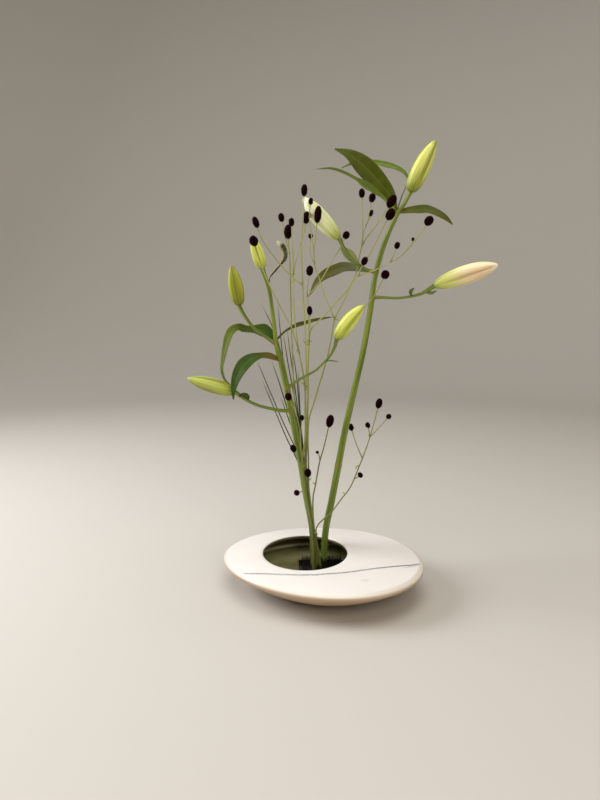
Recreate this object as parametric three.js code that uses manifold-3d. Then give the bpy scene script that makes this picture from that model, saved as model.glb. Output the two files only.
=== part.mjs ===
// An ikebana arrangement: two cut lily stems with closed buds, nine sprays of great burnet and a tuft
// of rush, standing in a pin holder in the water of a wide, flat, oval bowl.
//
// Millimetres, +Z up. The origin is the middle of the bowl's foot, on the surface it stands on.
// +X runs to the right and +Y away from someone who looks at the front.
import * as THREE from 'three';
import { mergeVertices } from 'three/addons/utils/BufferGeometryUtils.js';
import Module from 'manifold-3d';

const wasm = await Module();
wasm.setup();

const DEGREE = Math.PI / 180;
const GAP = 0.35;
const MERGE = 1e-3;

// Bowl: an oval shell of glazed stoneware, a little wider at its right end, with a round mouth left of its
// middle
const RIM_HALF_LENGTH = 153.8;
const RIM_HALF_WIDTH = 123.8;
const RIM_X = -2.1;
const RIM_Y = 2.1;
const RIM_TURN = -12 * DEGREE;
const RIGHT_END_WIDER = 0.078;
const FOOT_SHARE = 0.42;
const MOUTH_X = -28;
const MOUTH_Y = 6.4;
const MOUTH_RADIUS = 64.5;
const CROWN_Z = 54;
const SHOULDER_Z = 48.5;
const SHOULDER_SHARE = 0.957;
const DOME_SHARES = [0.35, 0.7];
const CEILING_SHARE = 0.5;
const CEILING_FALL = 0.4;
const BOWL_SIDES = 40;
// Each point is how far it lies outside the mouth's wall, and how far below the crown
const MOUTH_PROFILE = [[2.5, 0], [0.4, 0.9], [0, 2.5], [1, 5.6]];
// Each point is a share of the rim's half sizes, and a height
const BOWL_OUTSIDE = [
  [0, 0], [FOOT_SHARE, 0], [0.435, 0.8], [0.51, 2.7], [0.6, 7.5], [0.72, 15.5], [0.82, 23.3], [0.9, 30.2],
  [0.95, 34.8], [0.985, 38.1], [1, 41], [1, 44.8], [SHOULDER_SHARE, SHOULDER_Z],
];
const BOWL_INSIDE = [
  [0.93, 41.6], [0.935, 39.6], [0.89, 35], [0.81, 28], [0.7, 20.2], [0.59, 13], [0.5, 7], [0, 7],
];

// Water in the bowl
const WATER_Z = 26.4;
const WATER_INSET = 0.004;

// Pin holder: a heavy plate set with pins
const HOLDER_LENGTH = 73;
const HOLDER_WIDTH = 55;
const HOLDER_X = -1.5;
const HOLDER_Y = 21.5;
const HOLDER_BOTTOM = 7.35;
const HOLDER_TOP = 15.3;
const PIN_TOP = 33;
const PIN_PITCH = 6;
const PIN_RADIUS = 0.9;
const PIN_TIP_RADIUS = 0.25;
const PIN_SIDES = 3;
const PIN_SUNK = 1.5;
const PLATE_MARGIN = 3.5;
const STEM_SUNK = HOLDER_TOP - 2;
const FOOT_TOP = PIN_TOP + 2;
const FOOT_STEP = 0.01;

// Stems are drawn as x, y, z and radius
const LILY_SIDES = 10;
const LILY_STEP = 30;
const PEDICEL_SIDES = 7;
const PEDICEL_STEP = 17;

const RIGHT_LILY = {
  stem: [
    [2, 40, STEM_SUNK, 5.0], [5, 35, 78, 5.2], [14, 33, 128, 5.3], [23, 31, 181, 5.2], [33, 28, 240, 4.9],
    [46, 24, 304, 4.6], [58, 21, 362, 4.4], [67, 18, 421, 4.1], [74, 15, 477, 3.8], [88, 13, 526, 3.5],
    [103, 11, 561, 3.3],
  ],
  pedicels: [
    [[103, 11, 561, 3.0], [110, 9, 570, 2.6], [115, 7, 579, 2.5], [119, 5, 588, 3.4]],
    [[74, 15, 478, 3.0], [61, 14, 481, 2.6], [49, 13, 488, 2.5], [37, 13, 498, 2.4], [29, 13, 509, 2.4],
      [23, 13, 519, 2.8], [21, 13, 525, 3.4]],
    [[73, 16, 442, 3.2], [83, 14, 442, 2.3], [103, 8, 441, 2], [122, 3, 443, 2], [137, -2, 447, 2.2],
      [147, -6, 453, 2.9], [154, -8, 458, 3.4]],
  ],
};

const LEFT_LILY = {
  stem: [
    [-9, 26, STEM_SUNK, 4.6], [-13.5, 25, 65, 4.6], [-20, 23, 102, 4.6], [-27, 21, 140, 4.6],
    [-36, 16, 200, 4.9], [-45, 11, 252, 5.1], [-54, 4, 302, 4.9], [-63, -3, 348, 4.7], [-71, -7, 379, 4.0],
  ],
  pedicels: [
    [[-71, -7, 377, 3.4], [-73, -8, 403, 2.8], [-76, -9, 427, 2.7], [-79, -10, 449, 2.7], [-84, -11, 467, 2.8],
      [-89, -13, 482, 3.4]],
    [[-70, -7, 375, 3.2], [-82, -10, 384, 2.4], [-93, -13, 392, 2.3], [-104, -16, 402, 2.2],
      [-112, -18, 413, 2.3], [-118, -19, 423, 2.7], [-122, -20, 431, 3.3]],
    [[-56, 2, 309, 3], [-40, -4, 322, 2], [-27, -9, 330, 1.9], [-14, -13, 338, 1.8], [-3, -17, 349, 1.8],
      [5, -20, 358, 1.9], [12, -22, 370, 2.3], [16, -23, 384, 3.3]],
    [[-50, 7, 276, 3.2], [-65, -3, 278, 2.5], [-80, -9, 282, 2.3], [-96, -14, 287, 2.2], [-110, -18, 294, 2.3],
      [-121, -21, 302, 2.7], [-130, -23, 309, 3.4]],
  ],
};

// Buds: the middle of the base, of the swelling and of the tip, the greatest half width, the turn of the ribs,
// and how far a riper bud's swelling moves towards its tip
const BUD_SIDES = 24;
const BUD_OUTLINE = [
  [0, 0], [0, 0.48], [0.07, 0.72], [0.19, 0.91], [0.38, 1], [0.6, 0.93], [0.8, 0.67], [0.94, 0.35], [1, 0],
];
const OUTER_RIB = 0.06;
const FURROW = 0.05;
const BUDS = {
  right_bud_top: { base: [119, 5, 588], middle: [133, 1, 621.5], tip: [150, -5, 654], half: 12, turn: 56 },
  right_bud_left: {
    base: [20, 13, 525], middle: [-7, 15, 553], tip: [-31, 16, 582], half: 12.1, turn: 70, ripe: 1.3,
  },
  right_bud_out: {
    base: [154, -8, 458], middle: [195, -19, 473], tip: [236, -30, 485.5], half: 13, turn: 25, ripe: 1.3,
  },
  left_bud_top: {
    base: [-88.5, -13, 482], middle: [-94.5, -20, 501.5], tip: [-101, -28, 523], half: 8.8, turn: 35,
  },
  left_bud_up: {
    base: [-121.5, -20, 431], middle: [-124.8, -26, 458], tip: [-130, -32, 485], half: 10, turn: 20,
  },
  left_bud_inner: { base: [16, -23, 384], middle: [33, -28, 410], tip: [53, -33, 431], half: 10.3, turn: 55 },
  left_bud_low: { base: [-130, -23, 309], middle: [-161, -31, 319], tip: [-194, -38, 330], half: 11, turn: 95 },
};

// Leaves are drawn as x, y, z and half width along the midrib. The upper face looks along the first direction
// at the root and along the second at the tip, and the margins stand above the midrib by the fold
const LEAF_COLUMNS = 4;
const LEAF_STEP = 12;
const LEAF_LEAST_ROWS = 3;
const BRACT_FOLD = 0.2;
const LEAF_THICKNESS = 0.9;
const LEAVES = {
  right_leaf_tall: {
    midrib: [[103, 13, 565, 2.2], [109, 14, 584, 1.8], [114.5, 15, 596.5, 1.7], [117.5, 17, 607, 1.8],
      [113.5, 21, 616, 2.3], [104, 26, 623.5, 3.4], [91.5, 31, 628.5, 4.5], [79, 36, 632.5, 4.4],
      [60.5, 40, 635.5, 3.9], [43.5, 43, 634.5, 3], [25, 44, 628, 1]],
    faces: [[-1, -0.3, 0.3], [-0.1, -1, 0.6]], fold: 0.3, lily: 'right',
  },
  right_leaf_broad: {
    midrib: [[101, 13, 556, 3.5], [94, 19, 582, 9], [75, 22, 606, 13], [55, 24, 626, 13.5], [35, 24, 641, 9],
      [13, 22, 649, 1.2]],
    faces: [[-0.7, -0.6, 0], [-0.2, -1, 0.6]], fold: 0.18, lily: 'right',
  },
  right_leaf_long: {
    midrib: [[100, 10, 555, 3], [86, 10, 575, 6.5], [66, 3, 588, 9], [45, -8, 599, 10], [25, -13, 608.5, 9.5],
      [5, -17, 614, 6], [-14, -20, 613, 1]],
    faces: [[-0.5, -0.2, 1], [-0.2, -0.15, 1]], fold: 0.25, lily: 'right',
  },
  right_leaf_fore: {
    midrib: [[103, 10, 560.5, 3], [114, 4, 562, 6.5], [127, -2, 562.5, 7.4], [140.5, -6, 562, 8.1],
      [152.5, -10, 557.5, 7.3], [165, -13, 550, 4.9], [174.5, -16, 541, 1.1]],
    faces: [[0.1, -0.8, 0.6], [0.4, -0.9, 0.5]], fold: 0.2, lily: 'right',
  },
  right_leaf_arched: {
    midrib: [[73, 16, 477, 2.6], [58, 29, 481.5, 5], [44, 38, 485, 7.6], [28.5, 43, 486, 9.9],
      [14.5, 45, 481, 9.9], [1.5, 46, 475, 8.8], [-10, 48, 465, 6.2], [-21, 49, 446, 1.2]],
    faces: [[0.1, -0.9, 0.8], [-0.5, -0.9, 0.5]], fold: 0.2, lily: 'right',
  },
  right_leaf_small: {
    midrib: [[49.5, 13.5, 487.5, 1.8], [44, 18, 493.5, 4.8], [38.5, 21, 500, 6.9], [33, 24, 505.5, 6.4],
      [27.5, 26, 511.5, 3.8], [23.5, 28, 518.5, 0.9]],
    faces: [[-0.4, -1, 0.3], [-0.3, -1, 0.4]], fold: 0.2, lily: 'right',
  },
  left_leaf_long: {
    midrib: [[-73, -6, 380, 3.2], [-81, -1, 390.5, 7.5], [-89, 2, 394.5, 10], [-98, 4, 396, 7.5],
      [-107, 4, 396, 5.5], [-115, 2, 397, 5.5], [-124, -2, 399, 6.5], [-131, -8, 397, 7.3],
      [-137, -14, 388.5, 6.6], [-141, -21, 373.5, 5.3], [-144, -28, 357, 3.8], [-145.5, -34, 340.5, 2.5],
      [-141, -39, 328, 1.7], [-134.5, -43, 322.5, 0.8]],
    faces: [[-0.2, -1, 0.6], [-0.6, -1, 0.2]], fold: 0.2, lily: 'left',
  },
  left_leaf_dark: {
    midrib: [[-67, -5, 353, 3.5], [-79, -12, 358.5, 6], [-91, -19, 360, 5.4], [-102, -26, 357.5, 8.6],
      [-113, -31, 350, 10.6], [-121, -36, 339, 9.2], [-126.5, -39, 325.5, 6.7], [-129, -41, 312, 3.6],
      [-129.5, -42, 300.5, 0.9]],
    faces: [[-0.1, -0.8, 0.8], [-0.5, -1, 0.2]], fold: 0.18, lily: 'left',
  },
  left_leaf_narrow: {
    midrib: [[-71, -7, 380, 1.8], [-58.5, 0, 392.5, 1.8], [-48.5, 8, 398, 2.8], [-38, 15, 402, 4.6],
      [-27, 21, 405, 4.4], [-13, 26, 408.5, 3.7], [10.5, 32, 413, 1.1]],
    faces: [[0, -0.8, 0.8], [0.1, -0.6, 1]], fold: 0.3, lily: 'left',
  },
  left_leaf_bract: {
    midrib: [[-112, -19, 296, 1.5], [-110.5, -22, 300.5, 2.6], [-113.5, -25, 304, 3.2],
      [-118.5, -26, 304.5, 2.6], [-123.5, -26.5, 302.5, 0.8]],
    faces: [[0, -1, 0.2], [-0.1, -1, 0.4]], fold: 0.25, lily: 'left',
  },
};
const WITHERED_LEAF = {
  midrib: [[-80, -9, 461, 1.5], [-78.5, -8, 469, 2], [-71, -6, 478.5, 2.6], [-63.5, -3, 487, 3.2],
    [-57.5, 0, 495.5, 4.4], [-56.5, 2, 504, 5.2], [-60, 3, 513, 4.7], [-68.5, 2, 520.5, 1.6]],
  faces: [[-0.8, -0.5, 0.6], [-0.5, -1, -0.2]], fold: 0.4, lily: 'left',
};
// Bracts are small leaves that grow fast on a pedicel
const BRACTS = {
  right: [
    {
      midrib: [[124, 3, 445, 1.6], [122, -2, 450, 3], [126, -6, 455, 0.8]],
      faces: [[0.2, -1, 0.2], [0.2, -1, 0.4]],
    },
    {
      midrib: [[142, -4, 450, 1.6], [150, -9, 448, 2.4], [157, -12, 451, 0.6]],
      faces: [[0, -1, 0], [0, -1, 0.5]],
    },
  ],
  left: [
    {
      midrib: [[-1, -18, 351, 1.6], [8, -24, 353, 2.6], [18, -29, 352, 0.6]],
      faces: [[0, -0.4, 1], [0, -0.4, 1]],
    },
  ],
};

// Great burnet: each stalk runs from x, y, z to its end, and thins from the first radius to the second.
// A head is an oval on the end of its stalk, given by its half width and half length
const BURNET_SIDES = 4;
const BURNET_STEP = 34;
const HEAD_SIDES = 8;
const HEAD_RINGS = 5;
const FLORET_RISE = 0.13;
const SPRAYS = {
  burnet_fore: [
    { way: [[-18, 14, STEM_SUNK], [-18, 14, 53], [-22, 12, 103], [-27, 10, 141], [-31, 8, 168], [-33, 7, 192],
      [-31, 8, 212], [-28, 10, 234], [-28, 11, 276], [-28, 9, 306]], radii: [1.7, 1.4] },
    { way: [[-28, 9, 306], [-27, 8, 336], [-27, 7, 367], [-29, 5, 408], [-32, 3, 459]], radii: [1.3, 1.1] },
    { way: [[-32, 3, 459], [-34, 1, 508], [-32, 0, 545], [-31, -1, 568], [-30, -2, 589]], radii: [0.9, 0.8],
      head: [4.4, 8.1] },
    { way: [[-32, 3, 459], [-47, -5, 470], [-63, -12, 487], [-78, -15, 505], [-89, -16, 522], [-97, -16, 544]],
      radii: [0.9, 0.8], head: [4.4, 8.1] },
  ],
  burnet_tall: [
    { way: [[-17, 41.5, STEM_SUNK], [-17.5, 41, 60], [-22, 40, 95], [-27, 39, 130], [-28, 31, 200],
      [-27, 22, 270], [-30, 15, 320], [-37, 10, 360]], radii: [1.5, 1.2] },
    { way: [[-37, 10, 360], [-49, -6, 401], [-59, -11, 420], [-68, -16, 438], [-79, -24, 460], [-88, -33, 483],
      [-95, -42, 504], [-98, -46, 516]], radii: [0.9, 0.8], head: [5.9, 7.4] },
    { way: [[-37, 10, 360], [-42, 5, 395], [-45, 2, 438], [-46, 2, 472]], radii: [1.0, 0.9] },
    { way: [[-46, 2, 472], [-46, 1, 497], [-47, 0, 520], [-48, -1, 546]], radii: [0.9, 0.7], head: [4, 5.9] },
    { way: [[-46, 2, 472], [-43, 3, 489], [-37, 4.5, 511], [-30, 4.5, 532], [-27, 5.2, 553]],
      radii: [0.9, 0.7], head: [5.4, 8.8] },
  ],
  burnet_back: [
    { way: [[-9, 37, STEM_SUNK], [-14, 40, 84], [-19, 40, 118], [-23, 39, 146], [-26, 38, 175], [-26, 35, 209],
      [-25, 31, 240], [-24, 26, 285], [-24, 20, 338], [-23, 17, 373]], radii: [1.5, 1.2] },
    { way: [[-23, 17, 373], [-23, 15, 410], [-25, 14, 443]], radii: [1.0, 0.9] },
    { way: [[-25, 14, 443], [-26, 13, 454], [-24, 12, 465], [-22, 12, 480]], radii: [0.9, 0.8],
      head: [5.1, 7.4] },
    { way: [[-25, 14, 443], [-14, 16, 456], [-6, 18, 466], [9, 21, 491], [22, 24, 512], [31, 25, 531]],
      radii: [0.9, 0.7], head: [5.1, 5.9] },
    { way: [[-23, 17, 373], [-22, 11, 395], [-21, 7, 411], [-22, 6, 423]], radii: [0.9, 0.8], head: [4, 6.6] },
    { way: [[-23, 17, 373], [-20, 18, 395], [-6, 20, 410], [8, 22, 424], [23, 24, 441], [34, 25, 453],
      [46, 25, 477], [51, 25, 503], [54, 25, 516]], radii: [1.1, 0.9] },
    { way: [[54, 25, 516], [55, 26, 531], [54, 27, 560], [53, 28, 590]], radii: [0.8, 0.7], head: [4.4, 6.6] },
    { way: [[54, 25, 516], [56, 22, 535], [62, 20, 554], [67, 18, 582]], radii: [0.8, 0.7], head: [4.8, 6.6] },
    { way: [[58, 21, 543], [62, 20, 550], [66, 19, 561]], radii: [0.7, 0.7], head: [2.9, 5.1] },
    { way: [[54, 25, 516], [59, 17, 526], [69, 4, 539], [77, -10, 551], [89, -21, 571]], radii: [0.9, 0.8],
      head: [5.9, 9.6] },
  ],
  burnet_right: [
    { way: [[-4, 18, STEM_SUNK], [-10, 17.5, 61], [-16, 17, 98], [-21, 17.5, 134], [-23, 18, 165],
      [-23, 18, 197], [-24, 16, 235], [-22, 15, 264], [-16, 15, 283], [-5, 13, 322], [1, 11, 343],
      [7, 9, 368], [14, 8, 411]], radii: [1.5, 1.1] },
    { way: [[14, 8, 411], [6, 10, 430], [0, 11, 444], [-7, 11, 465], [-15, 10, 488], [-21, 8, 506],
      [-21, 7, 528]], radii: [0.9, 0.7], head: [3.3, 3.7] },
    { way: [[-15, 10, 488], [-16, 5, 509], [-14, 1, 525], [-11, -4, 556]], radii: [0.8, 0.8],
      head: [5.1, 11.8] },
    { way: [[-15, 10, 488], [-17, 5, 509], [-20, 2, 529], [-23, -1, 552], [-21, -2, 574]], radii: [0.7, 0.7],
      head: [3.3, 4.8] },
    { way: [[14, 8, 411], [24, 9, 431], [31, 9, 444], [41, 8, 465], [47, 7, 472]], radii: [1.0, 0.9] },
    { way: [[47, 7, 472], [55, 5, 475], [68, 3, 479], [81, 2, 485], [103, -3, 497], [114, -6, 507],
      [131, -12, 529], [142, -15, 546]], radii: [0.9, 0.7], head: [5.9, 7.4] },
    { way: [[92, -1, 491], [96, -2, 500], [101, -3, 514]], radii: [0.7, 0.7], head: [3.7, 5.1] },
    { way: [[120, -8, 513], [122, -8, 522]], radii: [0.7, 0.7], head: [2.2, 2.9] },
    { way: [[47, 7, 472], [52, 7, 484], [61, 5, 499], [71, -1, 518], [83, -5, 543], [90, -6, 556]],
      radii: [0.9, 0.8], head: [6.2, 8.8] },
    { way: [[47, 7, 472], [51, 5, 482], [56, 3, 493]], radii: [0.7, 0.7], head: [4.4, 6.6] },
    { way: [[14, 8, 411], [31, 4, 408], [50, 2, 422], [62, 2, 434], [72, 3, 446], [80, 4, 462], [86, 4, 474]],
      radii: [0.8, 0.7], head: [5.9, 6.6] },
  ],
  burnet_middle: [
    { way: [[-9, 43, STEM_SUNK], [-12, 44, 66], [-15, 45, 99], [-15, 44, 131], [-12, 42, 147], [-5, 37, 190],
      [1, 34, 213], [10, 31, 255]], radii: [1.3, 1.0], head: [5.9, 10.3] },
    { way: [[-5, 37, 190], [-6, 35, 199], [-9, 34, 205]], radii: [0.7, 0.7], head: [2.6, 2.6] },
  ],
  burnet_small: [
    { way: [[-2, 12, STEM_SUNK], [-5, 11, 40], [-9, 9.5, 62], [-11.5, 8.8, 82], [-9.5, 9.5, 94],
      [-3.5, 10.5, 101.5], [4, 12, 108], [12, 13, 115], [30, 17, 138], [41, 20, 152], [55, 25, 184],
      [66, 29, 212], [78, 33, 252], [85, 34, 282]], radii: [1.2, 0.8], head: [5.1, 8.1] },
    { way: [[60, 27, 198], [52, 32, 216], [43, 38, 244]], radii: [0.8, 0.7], head: [4, 5.9] },
    { way: [[72, 31, 230], [70, 30, 241], [68, 29, 249]], radii: [0.7, 0.7], head: [3.7, 4.8] },
    { way: [[72, 31, 230], [84, 34, 242], [101, 37, 261]], radii: [0.7, 0.7], head: [3.7, 4.4] },
    { way: [[48, 22, 166], [53, 22, 169], [57, 22, 172]], radii: [0.7, 0.7], head: [4.4, 4] },
  ],
  burnet_low: [
    { way: [[-7, 14, STEM_SUNK], [-11, 13.5, 62], [-15, 12.8, 98], [-19, 12, 127], [-22, 11.5, 151],
      [-22.9, 10.8, 167], [-24, 10, 179]], radii: [1.4, 1.0], head: [5.1, 7] },
  ],
  burnet_left: [
    { way: [[-15, 0, STEM_SUNK], [-18, 1, 91], [-22, 1, 118], [-27, 1, 144], [-30, 1, 164], [-32, 1, 186],
      [-34, 1, 209], [-35, 1, 232], [-33, 1, 266]], radii: [1.4, 0.8], head: [3.3, 4.4] },
    { way: [[-29, 1, 156], [-36, 2, 151], [-41, 2, 150]], radii: [0.8, 0.7], head: [4.4, 4.4] },
    { way: [[-32, 1, 190], [-38, 0, 201], [-42, -1, 211], [-46, -2, 220]], radii: [0.8, 0.8],
      head: [4.4, 6.2] },
    { way: [[-35, 1, 232], [-37, -2, 251], [-42, -5, 274], [-53, -8, 299]], radii: [0.8, 0.7],
      head: [5.1, 5.9] },
  ],
  burnet_upright: [
    { way: [[-15, 36, STEM_SUNK], [-17, 35.5, 60], [-22, 34, 100], [-30, 32, 142], [-37, 29, 197],
      [-42, 27, 245], [-45, 25, 296], [-47, 23, 350], [-49, 21, 410], [-50, 20, 460], [-51, 19, 503]],
    radii: [1.4, 0.9] },
    { way: [[-51, 19, 503], [-53, 19, 518], [-53, 18, 535]], radii: [0.8, 0.8], head: [5.9, 10.3] },
    { way: [[-51, 19, 503], [-55, 22, 518], [-59, 24, 533], [-63, 27, 556]], radii: [0.8, 0.7],
      head: [4.4, 6.6] },
  ],
};

// Rush: thin blades that part from one short sheath
const RUSH_SIDES = 4;
const SHEATH_SIDES = 6;
const RUSH_STEP = 60;
const RUSH_RADII = [1.1, 0.6];
const RUSH_SHEATH = [[-14, 46.2, STEM_SUNK, 2.5], [-16.5, 47, 60, 2.2], [-25, 45, 110, 1.8]];
const RUSH_BLADES = [
  [[-25, 45, 106], [-36, 43, 177], [-59, 37, 232], [-93, 30, 318]],
  [[-25, 45, 106], [-31, 42, 175], [-67, 32, 265], [-101, 24, 350]],
  [[-25, 45, 106], [-41, 42, 215], [-66, 36, 308], [-79, 30, 349]],
  [[-25, 45, 106], [-44, 46, 224], [-54, 45, 256], [-66, 43, 291]],
  [[-25, 45, 106], [-38, 46, 239], [-60, 46, 337], [-70, 44, 438]],
  [[-25, 45, 106], [-38, 50, 246], [-55, 52, 345], [-62, 51, 391]],
  [[-25, 45, 106], [-36, 52, 238], [-49, 55, 341], [-56, 56, 394]],
  [[-25, 45, 106], [-34, 56, 222], [-42, 60, 325], [-50, 62, 371]],
  [[-25, 45, 106], [-31, 48, 206], [-35, 49, 254], [-39, 49, 332]],
  [[-25, 45, 106], [-50, 36, 257], [-73, 28, 387], [-93, 22, 434]],
];
const CUT_STALK = [[-12.4, 3.5, STEM_SUNK, 2.5], [-12.5, 3.5, 53, 2.4], [-11.6, 3.5, 86, 2.3]];

const FINISHES = {
  glaze: { color: 0xe9e4dd, roughness: 0.35, metalness: 0 },
  water: { color: 0x4b4b2e, roughness: 0.05, metalness: 0, transparent: true, opacity: 0.6 },
  lead: { color: 0x23242a, roughness: 0.5, metalness: 0.6 },
  lily_stem: { color: 0x5d8a3a, roughness: 0.5, metalness: 0 },
  lily_bud: { color: 0xc9d77c, roughness: 0.45, metalness: 0 },
  lily_leaf: { color: 0x47692a, roughness: 0.45, metalness: 0 },
  dry_leaf: { color: 0x3a2d1b, roughness: 0.8, metalness: 0 },
  burnet: { color: 0x4a1420, roughness: 0.8, metalness: 0 },
  rush: { color: 0x3f5230, roughness: 0.6, metalness: 0 },
};

const arrangement = new THREE.Group();

function vector([x, y, z]) {
  return new THREE.Vector3(x, y, z);
}

// Solids and the meshes that go in and out of them
function solidOf(geometry) {
  const bare = geometry.clone();
  bare.deleteAttribute('normal');
  bare.deleteAttribute('uv');
  const merged = mergeVertices(bare, MERGE);
  return new wasm.Manifold(new wasm.Mesh({
    numProp: 3,
    vertProperties: new Float32Array(merged.attributes.position.array),
    triVerts: new Uint32Array(merged.index.array),
  }));
}

function geometryOf(solid) {
  const mesh = solid.getMesh();
  const geometry = new THREE.BufferGeometry();
  geometry.setAttribute('position', new THREE.BufferAttribute(new Float32Array(mesh.vertProperties), 3));
  geometry.setIndex(new THREE.BufferAttribute(new Uint32Array(mesh.triVerts), 1));
  geometry.computeVertexNormals();
  return geometry;
}

function joined(solids) {
  return solids.reduce((whole, piece) => whole.add(piece));
}

// The largest body of a solid, without the scraps that a cut leaves
function largest(solid) {
  const bodies = solid.decompose();
  return bodies.reduce((best, body) => (body.volume() > best.volume() ? body : best));
}

function addPiece(name, geometry, finish) {
  const mesh = new THREE.Mesh(geometry, new THREE.MeshStandardMaterial(FINISHES[finish]));
  mesh.name = name;
  arrangement.add(mesh);
}

// A value that runs through a list at even shares of a curve's own parameter
function along(values, share) {
  const place = share * (values.length - 1);
  const low = Math.min(Math.floor(place), values.length - 2);
  return THREE.MathUtils.lerp(values[low], values[low + 1], place - low);
}

// A round stalk through the points of a curve, bent from a straight cylinder
function stalk(points, radii, sides, step) {
  const curve = new THREE.CatmullRomCurve3(points.map(vector), false, 'centripetal');
  const steps = Math.max(1, Math.round(curve.getLength() / step));
  const frames = curve.computeFrenetFrames(steps);
  const geometry = new THREE.CylinderGeometry(1, 1, 1, sides, steps);
  const position = geometry.attributes.position;
  for (let i = 0; i < position.count; i += 1) {
    const row = Math.round((position.getY(i) + 0.5) * steps);
    const share = curve.getUtoTmapping(row / steps);
    const radius = along(radii, share);
    const place = curve.getPoint(share);
    place.addScaledVector(frames.binormals[row], position.getX(i) * radius);
    place.addScaledVector(frames.normals[row], position.getZ(i) * radius);
    position.setXYZ(i, place.x, place.y, place.z);
  }
  return solidOf(geometry);
}

// A stalk whose points carry their own radius, with a margin all round it and past its ends where one is asked
function measuredStalk(points, sides, step, margin = 0) {
  const radii = points.map((point) => (point[3] + margin) / (margin > 0 ? Math.cos(Math.PI / sides) : 1));
  const way = points.map((point) => point.slice(0, 3));
  if (margin > 0) {
    const start = pastPoint(way[1], way[0], margin);
    const end = pastPoint(way.at(-2), way.at(-1), margin);
    way.splice(0, 1, start);
    way.splice(-1, 1, end);
  }
  return stalk(way, radii, sides, step);
}

// The point that lies a distance past the second of two points
function pastPoint(from, to, distance) {
  return vector(to).sub(vector(from)).setLength(distance).add(vector(to)).toArray();
}

// A blade: a flat sheet bent along its midrib, then given a thickness with both faces split alike
function blade({ midrib, faces, fold = BRACT_FOLD }) {
  const curve = new THREE.CatmullRomCurve3(midrib.map(vector), false, 'centripetal');
  const steps = Math.max(LEAF_LEAST_ROWS, Math.round(curve.getLength() / LEAF_STEP));
  const halves = midrib.map((point) => point[3]);
  const sheet = new THREE.PlaneGeometry(2, 1, LEAF_COLUMNS, steps);
  const { position } = sheet.attributes;
  const upper = [];
  const lower = [];
  for (let i = 0; i < position.count; i += 1) {
    const across = position.getX(i);
    const share = curve.getUtoTmapping(THREE.MathUtils.clamp(position.getY(i) + 0.5, 0, 1));
    const tangent = curve.getTangent(share);
    const facing = vector(faces[0]).lerp(vector(faces[1]), share);
    const side = new THREE.Vector3().crossVectors(tangent, facing).normalize();
    const normal = new THREE.Vector3().crossVectors(side, tangent);
    const half = along(halves, share);
    const place = curve.getPoint(share);
    place.addScaledVector(side, across * half);
    place.addScaledVector(normal, Math.abs(across) * half * fold);
    upper.push(place.clone().addScaledVector(normal, LEAF_THICKNESS / 2));
    lower.push(place.clone().addScaledVector(normal, -LEAF_THICKNESS / 2));
  }
  return solidOf(closedSheet(upper, lower, sheet.index.array, LEAF_COLUMNS + 1, steps + 1));
}

// Two like skins joined round their rim
function closedSheet(upper, lower, faces, columns, rows) {
  const count = upper.length;
  const index = [];
  for (let i = 0; i < faces.length; i += 3) {
    index.push(faces[i], faces[i + 1], faces[i + 2]);
    index.push(faces[i] + count, faces[i + 2] + count, faces[i + 1] + count);
  }
  const rim = [];
  for (let column = 0; column < columns - 1; column += 1) rim.push(column);
  for (let row = 0; row < rows - 1; row += 1) rim.push(row * columns + columns - 1);
  for (let column = columns - 1; column > 0; column -= 1) rim.push((rows - 1) * columns + column);
  for (let row = rows - 1; row > 0; row -= 1) rim.push(row * columns);
  rim.forEach((start, i) => {
    const end = rim[(i + 1) % rim.length];
    index.push(start, end, start + count);
    index.push(end, end + count, start + count);
  });
  const geometry = new THREE.BufferGeometry().setFromPoints([...upper, ...lower]);
  geometry.setIndex(index);
  return geometry;
}

// Bowl
function ovalRing(share, z) {
  const lean = Math.max(0, (share - FOOT_SHARE) / (1 - FOOT_SHARE));
  return {
    x: RIM_X * lean,
    y: RIM_Y * lean,
    z,
    length: RIM_HALF_LENGTH * share,
    width: RIM_HALF_WIDTH * share,
    egg: RIGHT_END_WIDER * share,
  };
}

function mouthRing(radius, z) {
  return { x: MOUTH_X, y: MOUTH_Y, z, length: radius, width: radius, egg: 0 };
}

function ringBetween(from, to, share, z) {
  return {
    x: THREE.MathUtils.lerp(from.x, to.x, share),
    y: THREE.MathUtils.lerp(from.y, to.y, share),
    z,
    length: THREE.MathUtils.lerp(from.length, to.length, share),
    width: THREE.MathUtils.lerp(from.width, to.width, share),
    egg: THREE.MathUtils.lerp(from.egg, to.egg, share),
  };
}

// A body turned through a list of rings that starts and ends on a point
function ringBody(rings) {
  const profile = rings.map((ring) => new THREE.Vector2(ring.length, ring.z));
  const geometry = new THREE.LatheGeometry(profile, BOWL_SIDES);
  const { position } = geometry.attributes;
  for (let i = 0; i < position.count; i += 1) {
    const ring = rings[i % rings.length];
    const angle = (Math.floor(i / rings.length) * 2 * Math.PI) / BOWL_SIDES;
    const width = ring.width * (1 + ring.egg * Math.cos(angle));
    const place = new THREE.Vector3(ring.length * Math.cos(angle), width * Math.sin(angle), ring.z);
    place.applyAxisAngle(new THREE.Vector3(0, 0, 1), RIM_TURN);
    position.setXYZ(i, place.x + ring.x, place.y + ring.y, place.z);
  }
  return solidOf(geometry);
}

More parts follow.
